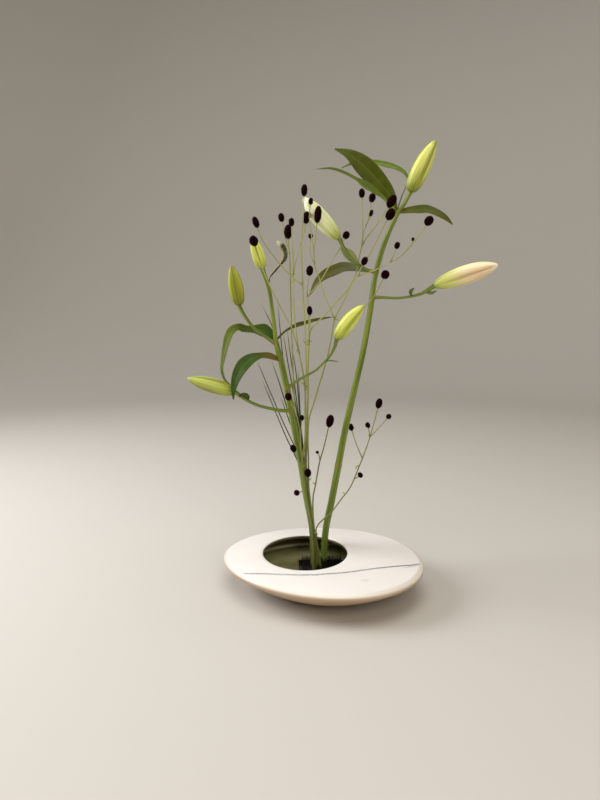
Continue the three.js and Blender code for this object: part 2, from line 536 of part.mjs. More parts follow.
function bowlRings() {
  const outside = BOWL_OUTSIDE.map(([share, z]) => ovalRing(share, z));
  const mouth = MOUTH_PROFILE.map(([out, down]) => mouthRing(MOUTH_RADIUS + out, CROWN_Z - down));
  const inside = BOWL_INSIDE.map(([share, z]) => ovalRing(share, z));
  const dome = DOME_SHARES.map((share) => {
    const z = THREE.MathUtils.lerp(SHOULDER_Z, CROWN_Z, Math.sin((share * Math.PI) / 2));
    return ringBetween(outside.at(-1), mouth[0], share, z);
  });
  const ceilingZ = THREE.MathUtils.lerp(mouth.at(-1).z, inside[0].z, CEILING_FALL);
  const ceiling = ringBetween(mouth.at(-1), inside[0], CEILING_SHARE, ceilingZ);
  return [...outside, ...dome, ...mouth, ceiling, ...inside];
}

// Water: the shape of the inside up to its surface, with a plain hole for the pin holder and what stands in it
function waterBody() {
  const wet = BOWL_INSIDE.filter(([, z]) => z < WATER_Z).reverse();
  const above = BOWL_INSIDE.filter(([, z]) => z >= WATER_Z).at(-1);
  const top = wet.at(-1);
  const reach = THREE.MathUtils.mapLinear(WATER_Z - GAP, top[1], above[1], top[0], above[0]);
  const sides = wet.slice(1).map(([share, z]) => ovalRing(share - WATER_INSET, z + GAP));
  const body = ringBody([
    ovalRing(0, sides[0].z), ...sides, ovalRing(reach - WATER_INSET, WATER_Z), ovalRing(0, WATER_Z),
  ]);
  const room = new THREE.BoxGeometry(HOLDER_LENGTH + 2 * GAP, HOLDER_WIDTH + 2 * GAP, 2 * WATER_Z);
  room.translate(HOLDER_X, HOLDER_Y, WATER_Z);
  return body.subtract(solidOf(room));
}

// Pin holder: pins stand in even rows, but none where a stem is pushed on
function holderBody(feet) {
  const plate = new THREE.BoxGeometry(HOLDER_LENGTH, HOLDER_WIDTH, HOLDER_TOP - HOLDER_BOTTOM);
  plate.translate(HOLDER_X, HOLDER_Y, (HOLDER_TOP + HOLDER_BOTTOM) / 2);
  const columns = Math.floor((HOLDER_LENGTH - 2 * PLATE_MARGIN) / PIN_PITCH);
  const rows = Math.floor((HOLDER_WIDTH - 2 * PLATE_MARGIN) / PIN_PITCH);
  const height = PIN_TOP - HOLDER_TOP + PIN_SUNK;
  const pieces = [solidOf(plate)];
  for (let column = 0; column <= columns; column += 1) {
    for (let row = 0; row <= rows; row += 1) {
      const x = HOLDER_X + (column - columns / 2) * PIN_PITCH;
      const y = HOLDER_Y + (row - rows / 2) * PIN_PITCH;
      const free = feet.every((foot) => Math.hypot(foot.x - x, foot.y - y) > foot.radius + PIN_RADIUS + GAP);
      if (free) {
        const pin = new THREE.CylinderGeometry(PIN_TIP_RADIUS, PIN_RADIUS, height, PIN_SIDES);
        pin.rotateX(Math.PI / 2);
        pin.translate(x, y, PIN_TOP - height / 2);
        pieces.push(solidOf(pin));
      }
    }
  }
  return joined(pieces);
}

// A stem is cut level just above the plate that it stands on
function standing(solid) {
  const below = new THREE.BoxGeometry(HOLDER_LENGTH, HOLDER_WIDTH, HOLDER_TOP);
  below.translate(HOLDER_X, HOLDER_Y, HOLDER_TOP / 2 + GAP);
  return solid.subtract(solidOf(below));
}

// Where a stalk stands among the pins
function feetOf(points, radius) {
  const curve = new THREE.CatmullRomCurve3(points.map(vector), false, 'centripetal');
  const feet = [];
  for (let share = 0; share < 1; share += FOOT_STEP) {
    const place = curve.getPoint(share);
    if (place.z > FOOT_TOP) break;
    feet.push({ x: place.x, y: place.y, radius });
  }
  return feet;
}

// Lilies
function lilyBody({ stem, pedicels }, margin) {
  return joined([
    measuredStalk(stem, LILY_SIDES, LILY_STEP, margin),
    ...pedicels.map((pedicel) => measuredStalk(pedicel, PEDICEL_SIDES, PEDICEL_STEP, margin)),
  ]);
}

// A closed bud: six folded petals seen as three broad ribs, three lesser ones and the furrows between them
function budBody({ base, middle, tip, half, turn, ripe = 1 }) {
  const curve = new THREE.QuadraticBezierCurve3(vector(base), bowControl(base, middle, tip), vector(tip));
  const profile = BUD_OUTLINE.map(([share, width]) => new THREE.Vector2(width, share ** (1 / ripe)));
  const geometry = new THREE.LatheGeometry(profile, BUD_SIDES);
  const { position } = geometry.attributes;
  const forward = new THREE.Vector3().subVectors(vector(tip), vector(base)).normalize();
  const side = new THREE.Vector3().crossVectors(forward, new THREE.Vector3(0, 1, 0)).normalize();
  for (let i = 0; i < position.count; i += 1) {
    const share = position.getY(i);
    const angle = Math.atan2(position.getX(i), position.getZ(i));
    const swell = Math.sin(Math.PI * share);
    const rib = 1 + swell * (OUTER_RIB * Math.cos(3 * angle) + FURROW * Math.cos(6 * angle));
    const radius = half * rib * Math.hypot(position.getX(i), position.getZ(i));
    const tangent = curve.getTangent(share);
    const across = side.clone().addScaledVector(tangent, -side.dot(tangent)).normalize();
    const out = across.applyAxisAngle(tangent, angle + turn * DEGREE);
    const place = curve.getPoint(share).addScaledVector(out, radius);
    position.setXYZ(i, place.x, place.y, place.z);
  }
  return solidOf(geometry);
}

// The control point that takes a quadratic curve through its middle point
function bowControl(base, middle, tip) {
  return vector(middle)
    .multiplyScalar(2)
    .addScaledVector(vector(base), -0.5)
    .addScaledVector(vector(tip), -0.5);
}

// Burnet
function headBody(way, [halfWidth, halfLength]) {
  const geometry = new THREE.SphereGeometry(1, HEAD_SIDES, HEAD_RINGS);
  const { position } = geometry.attributes;
  const [before, centre] = way.slice(-2).map(vector);
  const tangent = centre.clone().sub(before).normalize();
  const upright = new THREE.Quaternion().setFromUnitVectors(new THREE.Vector3(0, 1, 0), tangent);
  for (let i = 0; i < position.count; i += 1) {
    const ring = Math.round((Math.acos(THREE.MathUtils.clamp(position.getY(i), -1, 1)) / Math.PI) * HEAD_RINGS);
    const spoke = i % (HEAD_SIDES + 1);
    const pole = ring === 0 || ring === HEAD_RINGS;
    const rise = !pole && (spoke % HEAD_SIDES + ring) % 2 === 0 ? 1 + FLORET_RISE : 1;
    const place = new THREE.Vector3(position.getX(i) * rise * halfWidth, position.getY(i) * halfLength,
      position.getZ(i) * rise * halfWidth);
    place.applyQuaternion(upright).add(centre);
    position.setXYZ(i, place.x, place.y, place.z);
  }
  return solidOf(geometry);
}

function sprayBody(branches) {
  const pieces = [];
  branches.forEach(({ way, radii, head }) => {
    pieces.push(stalk(way, radii, BURNET_SIDES, BURNET_STEP));
    if (head) pieces.push(headBody(way, head));
  });
  return joined(pieces);
}

function rushBody() {
  const blades = RUSH_BLADES.map((way) => stalk(way, RUSH_RADII, RUSH_SIDES, RUSH_STEP));
  return joined([measuredStalk(RUSH_SHEATH, SHEATH_SIDES, RUSH_STEP), ...blades]);
}

// Build
const feet = [
  ...feetOf(RIGHT_LILY.stem, RIGHT_LILY.stem[0][3]),
  ...feetOf(LEFT_LILY.stem, LEFT_LILY.stem[0][3]),
  ...feetOf(RUSH_SHEATH, RUSH_SHEATH[0][3]),
  ...feetOf(CUT_STALK, CUT_STALK[0][3]),
  ...Object.values(SPRAYS).flatMap(([main]) => feetOf(main.way, main.radii[0])),
];
const rooms = { right: lilyBody(RIGHT_LILY, GAP), left: lilyBody(LEFT_LILY, GAP) };
const lilies = { right: RIGHT_LILY, left: LEFT_LILY };

addPiece('bowl', geometryOf(ringBody(bowlRings())), 'glaze');
addPiece('water', geometryOf(waterBody()), 'water');
addPiece('pin_holder', geometryOf(holderBody(feet)), 'lead');
Object.entries(lilies).forEach(([side, lily]) => {
  const bracts = BRACTS[side].map(blade);
  addPiece(`${side}_lily_stem`, geometryOf(standing(joined([lilyBody(lily), ...bracts]))), 'lily_stem');
});
Object.entries(BUDS).forEach(([name, bud]) => {
  const side = name.split('_')[0];
  addPiece(name, geometryOf(largest(budBody(bud).subtract(rooms[side]))), 'lily_bud');
});
Object.entries(LEAVES).forEach(([name, leaf]) => {
  addPiece(name, geometryOf(largest(blade(leaf).subtract(rooms[leaf.lily]))), 'lily_leaf');
});
const withered = blade(WITHERED_LEAF).subtract(rooms[WITHERED_LEAF.lily]);
addPiece('withered_leaf', geometryOf(largest(withered)), 'dry_leaf');
Object.entries(SPRAYS).forEach(([name, branches]) => {
  addPiece(name, geometryOf(standing(sprayBody(branches))), 'burnet');
});
addPiece('rush', geometryOf(standing(rushBody())), 'rush');
addPiece('cut_stalk', geometryOf(standing(measuredStalk(CUT_STALK, LILY_SIDES, LILY_STEP))), 'lily_stem');

export default arrangement;
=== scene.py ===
"""An ikebana arrangement: closed lilies, great burnet and rush on a pin holder in a low oval bowl.

Sizes and places are millimetres in the part's frame until a mesh is made, where they become metres. +X runs
to the right and +Y away from someone who looks at the front, and the origin is the middle of the bowl's foot.
"""

from __future__ import annotations

import logging
import math
import random
from collections.abc import Callable, Sequence
from dataclasses import dataclass
from enum import Enum

import bmesh
import bpy
import numpy as np
from mathutils import Matrix, Vector


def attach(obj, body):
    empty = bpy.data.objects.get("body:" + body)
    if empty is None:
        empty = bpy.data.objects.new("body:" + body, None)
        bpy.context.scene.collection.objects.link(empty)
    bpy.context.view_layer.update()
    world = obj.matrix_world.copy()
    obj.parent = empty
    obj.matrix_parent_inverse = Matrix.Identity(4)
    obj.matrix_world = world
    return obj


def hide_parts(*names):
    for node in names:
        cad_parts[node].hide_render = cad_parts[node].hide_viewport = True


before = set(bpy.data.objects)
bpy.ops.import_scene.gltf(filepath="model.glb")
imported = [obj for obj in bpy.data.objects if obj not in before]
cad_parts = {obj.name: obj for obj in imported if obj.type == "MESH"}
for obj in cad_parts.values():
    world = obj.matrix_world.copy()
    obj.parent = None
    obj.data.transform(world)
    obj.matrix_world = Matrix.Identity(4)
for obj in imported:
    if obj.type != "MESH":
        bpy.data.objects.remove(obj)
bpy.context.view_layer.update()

LOG = logging.getLogger("ikebana")
MM = 0.001
WELD = 1e-7
BODY = "root"
PLATE_TOP = 15.3
STEM_GAP = 0.35
FOOT = PLATE_TOP + STEM_GAP  # where every stem is cut level, just above the pin holder's plate

Values = Sequence[float]
Section = Callable[["Station", float], tuple[float, float]]
Mark = Callable[["Station", float], float]


# Curves


class Spline:
    """A smooth centripetal curve through given points, each a list of values of any length."""

    DENSE = 24
    SHORTEST = 1e-4

    def __init__(self, points: Sequence[Values], measured: int = 3) -> None:
        """Keep the points and measure the curve.

        Args:
            points: The values at each point.
            measured: How many of the first values count as a place when distance is measured.
        """
        self.points = [np.array(point, float) for point in points]
        self.measured = measured
        self.dense = np.linspace(0.0, 1.0, self.DENSE * (len(points) - 1) + 1)
        places = np.array([self.at(share)[:measured] for share in self.dense])
        steps = np.linalg.norm(np.diff(places, axis=0), axis=1)
        self.runs = np.concatenate([[0.0], np.cumsum(steps)])
        self.length = float(self.runs[-1])

    def at(self, share: float) -> np.ndarray:
        """Find the values at a share of the curve's own parameter.

        Args:
            share: 0 at the first point and 1 at the last.

        Returns:
            All the values there.
        """
        last = len(self.points) - 1
        whole = min(int(share * last), last - 1)
        weight = share * last - whole
        near, far = self.points[whole], self.points[whole + 1]
        before = self.points[whole - 1] if whole > 0 else 2 * near - far
        after = self.points[whole + 2] if whole + 2 <= last else 2 * far - near
        chords = [self._chord(a, b) for a, b in ((before, near), (near, far), (far, after))]
        first, middle, third = (chord if chord > self.SHORTEST else max(chords) for chord in chords)
        leave = (near - before) / first - (far - before) / (first + middle) + (far - near) / middle
        arrive = (far - near) / middle - (after - near) / (middle + third) + (after - far) / third
        leave, arrive = leave * middle, arrive * middle
        square = -3 * near + 3 * far - 2 * leave - arrive
        cube = 2 * near - 2 * far + leave + arrive
        return near + weight * (leave + weight * (square + weight * cube))

    def _chord(self, start: np.ndarray, end: np.ndarray) -> float:
        """Give the root of the distance between two points."""
        return math.sqrt(float(np.linalg.norm((end - start)[: self.measured])))

    def evenly(self, count: int) -> list[float]:
        """Give the parameters of count + 1 points that lie at even distances along the curve."""
        return [float(np.interp(self.length * i / count, self.runs, self.dense)) for i in range(count + 1)]


@dataclass
class Station:
    """One cross-section of a sweep."""

    share: float
    run: float
    size: float
    place: Vector
    side: Vector
    normal: Vector


def stations(
    spline: Spline, step: float, facing: tuple[Values, Values] | None = None, least: int = 2,
    near: float = 1e-3,
) -> list[Station]:
    """Place cross-sections at even distances along a curve of x, y, z and size.

    Args:
        spline: The curve.
        step: The distance between two cross-sections.
        facing: Where a blade's upper face looks at the root and at the tip, or None for a round stalk.
        least: The fewest steps.
        near: How far the two shares lie from a cross-section's own that its direction is taken from.

    Returns:
        The cross-sections, first to last.
    """
    count = max(least, round(spline.length / step))
    shares = spline.evenly(count)
    places = [spline.at(share) for share in shares]
    tangents = [spline.at(min(share + near, 1.0)) - spline.at(max(share - near, 0.0)) for share in shares]
    ahead = [Vector(tangent[:3]).normalized() for tangent in tangents]
    side = ahead[0].orthogonal().normalized()
    made = []
    for i, (share, place, tangent) in enumerate(zip(shares, places, ahead)):
        if facing is None:
            side = (side - tangent * side.dot(tangent)).normalized()
            normal = tangent.cross(side)
        else:
            upward = Vector(facing[0]).lerp(Vector(facing[1]), share)
            side = tangent.cross(upward).normalized()
            normal = side.cross(tangent)
        run = spline.length * i / count
        made.append(Station(i / count, run, float(place[3]), Vector(place[:3]), side, normal))
    return made


def level_below(station: Station, z: float) -> Station:
    """Give a level cross-section at a height, straight below another one and as wide."""
    place = Vector((station.place.x, station.place.y, z))
    return Station(0.0, 0.0, station.size, place, Vector((1, 0, 0)), Vector((0, 1, 0)))


def bell(distance: float, width: float) -> float:
    """Give a smooth hump, 1 at no distance and near 0 beyond twice the width."""
    return math.exp(-((distance / width) ** 2))


def smooth(low: float, high: float, value: float) -> float:
    """Give a smooth step from 0 at low to 1 at high."""
    share = min(max((value - low) / (high - low), 0.0), 1.0)
    return share * share * (3 - 2 * share)


def on_circle(radius: float, angle: float) -> tuple[float, float]:
    """Give the point of a circle at an angle."""
    return radius * math.cos(angle), radius * math.sin(angle)


def round_section(station: Station, turn: float) -> tuple[float, float]:
    """Give a plain round cross-section."""
    return on_circle(station.size, math.tau * turn)


GRAIN = ("east", "north", "run")


def grain(path: Sequence[Station]) -> dict[str, Mark]:
    """Give the marks that lengthwise streaks are drawn on: a place on the body pulled straight, in metres."""
    reach = max(station.size for station in path) * MM
    return {
        "east": lambda _, turn: reach * math.cos(math.tau * turn),
        "north": lambda _, turn: reach * math.sin(math.tau * turn),
        "run": lambda station, _: station.run * MM,
    }


# Meshes


class Shape:
    """A mesh in the making, with the marks that its finish reads at every vertex."""

    def __init__(self, *marks: str) -> None:
        """Start an empty mesh that holds the named marks."""
        self.mesh = bmesh.new()
        self.marks = {name: self.mesh.verts.layers.float.new(name) for name in marks}

    def sweep(self, path: Sequence[Station], sides: int, section: Section, **marks: Mark) -> None:
        """Add a closed body that has the section all along a path.

        Args:
            path: The cross-sections' places.
            sides: How many points go round a cross-section.
            section: Gives how far a point lies to the side and along the normal.
            marks: What each mark holds at a point.
        """
        steps = len(path) - 1
        made = bmesh.ops.create_grid(self.mesh, x_segments=sides, y_segments=steps, size=0.5)["verts"]
        for vert in made:
            station = path[round((vert.co.y + 0.5) * steps)]
            turn = (round((vert.co.x + 0.5) * sides) % sides) / sides
            across, out = section(station, turn)
            vert.co = (station.place + station.side * across + station.normal * out) * MM
            for name, mark in marks.items():
                vert[self.marks[name]] = mark(station, turn)
        self._close(made)

    def _close(self, verts: list[bmesh.types.BMVert]) -> None:
        """Weld the seam of a swept grid, close its ends and turn its faces outwards."""
        bmesh.ops.remove_doubles(self.mesh, verts=verts, dist=WELD)
        loose = {edge for vert in verts if vert.is_valid for edge in vert.link_edges}
        rims = [edge for edge in loose if edge.is_boundary]
        if rims:
            bmesh.ops.holes_fill(self.mesh, edges=rims, sides=0)
        faces = {face for vert in verts if vert.is_valid for face in vert.link_faces}
        bmesh.ops.recalc_face_normals(self.mesh, faces=list(faces))

    def piece(
        self, name: str, finish: Finish, slot: str, *nodes: str, crease: float = 50.0
    ) -> bpy.types.Object:
        """Turn the mesh into an object that rides on the body.

        Args:
            name: The piece's name.
            finish: Its finish.
            slot: The record's material slot; not used.
            nodes: The CAD nodes that it stands for.
            crease: Edges that turn by more degrees than this stay sharp.

        Returns:
            The object.
        """
        for face in self.mesh.faces:
            face.smooth = True
        for edge in self.mesh.edges:
            edge.smooth = edge.calc_face_angle(0.0) < math.radians(crease)
        data = bpy.data.meshes.new(name)
        self.mesh.to_mesh(data)
        self.mesh.free()
        data.materials.append(finish.material())
        piece = bpy.data.objects.new(name, data)
        bpy.context.collection.objects.link(piece)
        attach(piece, BODY)
        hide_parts(*nodes)
        LOG.info("%s: %d faces", name, len(data.polygons))
        return piece


# Finishes


def linear(colour: str) -> tuple[float, float, float, float]:
    """Turn an sRGB hex colour into the linear values that a shader takes."""
    channels = [int(colour[i : i + 2], 16) / 255 for i in (1, 3, 5)]
    straight = [c / 12.92 if c <= 0.04045 else ((c + 0.055) / 1.055) ** 2.4 for c in channels]
    return (*straight, 1.0)


def per_metre(size: float) -> float:
    """Give a pattern's scale from the size of one of its spots in millimetres."""
    return 1 / (size * MM)


@dataclass(frozen=True)
class Recipe:
    """A type of node, its settings, its inputs in the order of their values, and the output that is read."""

    type: str
    inputs: tuple[str | int, ...] = ()
    output: str | int = 0
    settings: tuple[tuple[str, str], ...] = ()


class Kind(Enum):
    """What a node does. Sockets that share their name with another are given by their number."""

    PLACE = Recipe("ShaderNodeTexCoord", (), "Object")
    HEIGHT = Recipe("ShaderNodeSeparateXYZ", ("Vector",), "Z")
    MARK = Recipe("ShaderNodeAttribute", (), "Fac")
    JOIN = Recipe("ShaderNodeCombineXYZ", ("X", "Y", "Z"), "Vector")
    STRETCH = Recipe("ShaderNodeMapping", ("Vector", "Scale"), "Vector")
    NOISE = Recipe("ShaderNodeTexNoise", ("Vector", "Scale", "Detail"), "Fac")
    RANGE = Recipe("ShaderNodeMapRange", (0, 1, 2, 3, 4), "Result", (("interpolation_type", "SMOOTHSTEP"),))
    MIX = Recipe("ShaderNodeMix", (0, 6, 7), 2, (("data_type", "RGBA"),))
    BUMP = Recipe("ShaderNodeBump", ("Height", "Distance", "Strength"), "Normal")
    ABSOLUTE = Recipe("ShaderNodeMath", (0,), 0, (("operation", "ABSOLUTE"),))
    COSINE = Recipe("ShaderNodeMath", (0,), 0, (("operation", "COSINE"),))
    ADD = Recipe("ShaderNodeMath", (0, 1), 0, (("operation", "ADD"),))
    MULTIPLY = Recipe("ShaderNodeMath", (0, 1), 0, (("operation", "MULTIPLY"),))
    MULTIPLY_ADD = Recipe("ShaderNodeMath", (0, 1, 2), 0, (("operation", "MULTIPLY_ADD"),))


def add(tree: bpy.types.NodeTree, kind: Kind, *values: object, **settings: object) -> bpy.types.NodeSocket:
    """Add a node with its settings and links.

    Args:
        tree: The material's node tree.
        kind: What the node does.
        values: What its inputs hold, in the kind's order: a number, a hex colour or the output that feeds it.
        settings: The node's own settings, beside those of its kind.

    Returns:
        The output that its kind is read from.
    """
    recipe = kind.value
    node = tree.nodes.new(recipe.type)
    for name, value in {**dict(recipe.settings), **settings}.items():
        setattr(node, name, value)
    for name, value in zip(recipe.inputs, values):
        if isinstance(value, bpy.types.NodeSocket):
            tree.links.new(value, node.inputs[name])
        else:
            node.inputs[name].default_value = linear(value) if isinstance(value, str) else value
    return node.outputs[recipe.output]


@dataclass(frozen=True)
class Finish:
    """A surface: what its shader holds all over, and what paint() draws on it."""

    name: str
    colour: str
    roughness: float
    metallic: float = 0.0
    ior: float = 1.45
    specular: float = 0.5

    def material(self) -> bpy.types.Material:
        """Make the material once, and give it again after that."""
        made = bpy.data.materials.get(self.name)
        if made is None:
            made = bpy.data.materials.new(self.name)
            made.use_nodes = True
            shader = made.node_tree.nodes["Principled BSDF"]
            shader.inputs["Base Color"].default_value = linear(self.colour)
            shader.inputs["Roughness"].default_value = self.roughness
            shader.inputs["Metallic"].default_value = self.metallic
            shader.inputs["IOR"].default_value = self.ior
            shader.inputs["Specular IOR Level"].default_value = self.specular
            self.paint(made.node_tree, shader)
        return made

    def paint(self, tree: bpy.types.NodeTree, shader: bpy.types.Node) -> None:
        """Draw the finish's pattern. A plain finish has none."""

    @staticmethod
    def marks(tree: bpy.types.NodeTree, *names: str) -> list[bpy.types.NodeSocket]:
        """Read marks of the mesh."""
        return [add(tree, Kind.MARK, attribute_name=name) for name in names]

    @staticmethod
    def spots(tree: bpy.types.NodeTree, size: float, detail: float = 2.0) -> bpy.types.NodeSocket:
        """Give a soft random pattern on object coordinates.

        Args:
            tree: The material's node tree.
            size: The size of a spot in millimetres.
            detail: How many finer layers it has.

        Returns:
            The pattern's output, from 0 to 1.
        """
        return add(tree, Kind.NOISE, add(tree, Kind.PLACE), per_metre(size), detail)

    @staticmethod
    def streaks(tree: bpy.types.NodeTree, width: float, length: float) -> bpy.types.NodeSocket:
        """Give random streaks that run along a swept body.

        Args:
            tree: The material's node tree.
            width: The width of a streak in millimetres.
            length: Its length in millimetres.

        Returns:
            The pattern's output, from 0 to 1.
        """
        place = add(tree, Kind.JOIN, *Finish.marks(tree, *GRAIN))
        drawn_out = add(tree, Kind.STRETCH, place, (1.0, 1.0, width / length))
        return add(tree, Kind.NOISE, drawn_out, per_metre(width), 2.0)

    @staticmethod
    def layer(
        tree: bpy.types.NodeTree, under: object, top: str, pattern: bpy.types.NodeSocket,
        low: float, high: float, most: float = 1.0,
    ) -> bpy.types.NodeSocket:
        """Lay a colour over another where a pattern is strong.

        Args:
            tree: The material's node tree.
            under: The colour below, as a hex colour or an output.
            top: The colour above.
            pattern: What says how much of the upper colour shows.
            low: The pattern's value where none of it shows.
            high: The pattern's value where the most of it shows, which may be the smaller of the two.
            most: How much that is, up to 1.

        Returns:
            The colour of both.
        """
        return add(tree, Kind.MIX, add(tree, Kind.RANGE, pattern, low, high, 0.0, most), under, top)

    @staticmethod
    def wear(
        tree: bpy.types.NodeTree, shader: bpy.types.Node, colour: bpy.types.NodeSocket,
        pattern: bpy.types.NodeSocket, depth: float,
    ) -> None:
        """Give the shader a painted colour and raise its surface by a pattern, to a depth in millimetres."""
        tree.links.new(colour, shader.inputs["Base Color"])
        tree.links.new(add(tree, Kind.BUMP, pattern, depth * MM, 1.0), shader.inputs["Normal"])


@dataclass(frozen=True)
class StonewareGlaze(Finish):
    """Satin white glaze, brushed on and fired: it looks soft and warm, with a drawn line and faint streaks.

    Each of its levels is two heights in millimetres: where a colour starts and where it covers the glaze. The
    other ranges are the two values of a pattern, or of a mark, and then the two values that they turn into.
    """

    shade: str = "#e8e3da"
    # Painted shade: a faint grey on the bevel just below the top's edge, where that face turns away from the
    # light.
    bevel_shade: str = "#e7e0d5"
    bevel_shade_level: tuple[float, float] = (48.8, 47.8)
    # Painted shade and a painted warm reflection of a wooden table: the underside below the rim is white
    # glaze, coloured tan here for the shade and bounce light it gets.
    underside: str = "#bb9f81"
    underside_shade_level: tuple[float, float] = (47.5, 40.5)
    clay: str = "#a98a6c"
    clay_level: tuple[float, float] = (1.8, 0.8)
    # Painted light and painted reflection: the inside glaze is a dark olive-brown, coloured here pale olive
    # cream with pale mottling below the water line for the light and reflection seen through the water, and
    # mid olive above it, still lighter than the glaze, as painted light on the shadowed wall.
    inside: str = "#cdc5aa"
    inside_spots: str = "#b5ac8c"
    inside_above_water: str = "#6b6343"
    above_water_level: tuple[float, float] = (26.5, 30.0)
    inside_roughness: float = 0.25
    inside_range: Values = (0.3, 0.7)
    ink: str = "#7b7a88"
    strokes: Sequence[str] = ()
    stroke_range: Values = (0.7, 1.2, 1.0, 0.0)
    torn_range: Values = (0.25, 0.75, -0.3, 0.3)

    def paint(self, tree: bpy.types.NodeTree, shader: bpy.types.Node) -> None:
        """Mottle the white, draw the strokes, paint shade and a warm reflection under the rim, darken the
        inside but paint light and reflection into it, and leave the foot bare.
        """
        height = add(tree, Kind.HEIGHT, add(tree, Kind.PLACE))

        def levelled(under: object, top: str, level: tuple[float, float]) -> bpy.types.NodeSocket:
            """Lay a colour over another beyond a level."""
            return self.layer(tree, under, top, height, low=level[0] * MM, high=level[1] * MM)

        cloud = self.spots(tree, size=60.0, detail=3.0)
        colour = self.layer(tree, self.colour, self.shade, cloud, low=0.35, high=0.75, most=0.6)
        colour = self.drawn(tree, colour)
        # Painted shade on the bevel below the top's edge.
        colour = levelled(colour, self.bevel_shade, self.bevel_shade_level)
        # Painted shade and a painted warm reflection below the rim.
        colour = levelled(colour, self.underside, self.underside_shade_level)
        colour = levelled(colour, self.clay, self.clay_level)
        # The inside's colours are painted light: pale under the water as a painted reflection, mid olive
        # above it.
        mottle = self.spots(tree, size=25.0, detail=3.0)
        dark = self.layer(tree, self.inside, self.inside_spots, mottle, low=0.4, high=0.7)
        dark = levelled(dark, self.inside_above_water, self.above_water_level)
        (within,) = self.marks(tree, "within")
        colour = add(tree, Kind.MIX, within, colour, dark)
        gloss = add(tree, Kind.RANGE, within, *self.inside_range, self.roughness, self.inside_roughness)
        tree.links.new(gloss, shader.inputs["Roughness"])
        self.wear(tree, shader, colour, self.spots(tree, size=6.0), depth=0.05)

    def drawn(self, tree: bpy.types.NodeTree, colour: bpy.types.NodeSocket) -> bpy.types.NodeSocket:
        """Brush the strokes over a colour, with edges torn by the dry brush."""
        torn = add(tree, Kind.RANGE, self.spots(tree, size=2.5), *self.torn_range)
        for stroke in self.strokes:
            away, ink = self.marks(tree, stroke, f"{stroke}_ink")
            edge = add(tree, Kind.ADD, add(tree, Kind.ABSOLUTE, away), torn)
            body = add(tree, Kind.RANGE, edge, *self.stroke_range)
            colour = add(tree, Kind.MIX, add(tree, Kind.MULTIPLY, body, ink), colour, self.ink)
        return colour


@dataclass(frozen=True)
class StillWater(Finish):
    """Clear still water: a mirror at a low angle, and dark where it lies over the dark glaze."""

    clearer: str = "#dfe0c8"
    clearness: float = 1.0

    def paint(self, tree: bpy.types.NodeTree, shader: bpy.types.Node) -> None:
        """Let light through, tinted a little unevenly."""
        shader.inputs["Transmission Weight"].default_value = self.clearness
        colour = add(tree, Kind.MIX, self.spots(tree, size=30.0, detail=1.0), self.colour, self.clearer)
        tree.links.new(colour, shader.inputs["Base Color"])


@dataclass(frozen=True)
class DullMetal(Finish):
    """Cast lead or old brass under water: dark, with a dull bloom that breaks its shine."""

    bloom: str = "#4a4c52"
    bloom_range: Values = (0.4, 0.7)
    dulling: float = 0.25

    def paint(self, tree: bpy.types.NodeTree, shader: bpy.types.Node) -> None:
        """Cloud the metal with its bloom."""
        cloud = add(tree, Kind.RANGE, self.spots(tree, size=4.0, detail=3.0), *self.bloom_range)
        tree.links.new(add(tree, Kind.MIX, cloud, self.colour, self.bloom), shader.inputs["Base Color"])
        dull = add(tree, Kind.RANGE, cloud, 0.0, 1.0, self.roughness, self.roughness + self.dulling)
        tree.links.new(dull, shader.inputs["Roughness"])


@dataclass(frozen=True)
class StemSkin(Finish):
    """The waxy skin of a living stem: a soft shine, fine lengthwise lines and browner scars."""

    shade: str = "#5a6c20"
    foot: str = "#6c8033"
    scar: str = "#8d7a45"
    foot_height: float = 140.0
    foot_full: float = 0.25

    def paint(self, tree: bpy.types.NodeTree, shader: bpy.types.Node) -> None:
        """Streak the skin along the stem and colour its foot and its scars."""
        height = add(tree, Kind.HEIGHT, add(tree, Kind.PLACE))
        foot_top = self.foot_height * MM
        foot_low = foot_top * self.foot_full
        streak = self.streaks(tree, width=2.2, length=90.0)
        fleck = self.spots(tree, size=1.6, detail=1.0)
        (scar,) = self.marks(tree, "scar")
        colour = self.layer(tree, self.colour, self.shade, streak, low=0.38, high=0.62)
        colour = self.layer(tree, colour, self.foot, height, low=foot_top, high=foot_low, most=0.7)
        colour = self.layer(tree, colour, self.scar, fleck, low=0.68, high=0.76, most=0.4)
        colour = add(tree, Kind.MIX, scar, colour, self.scar)
        self.wear(tree, shader, colour, self.streaks(tree, width=0.9, length=30.0), depth=0.15)


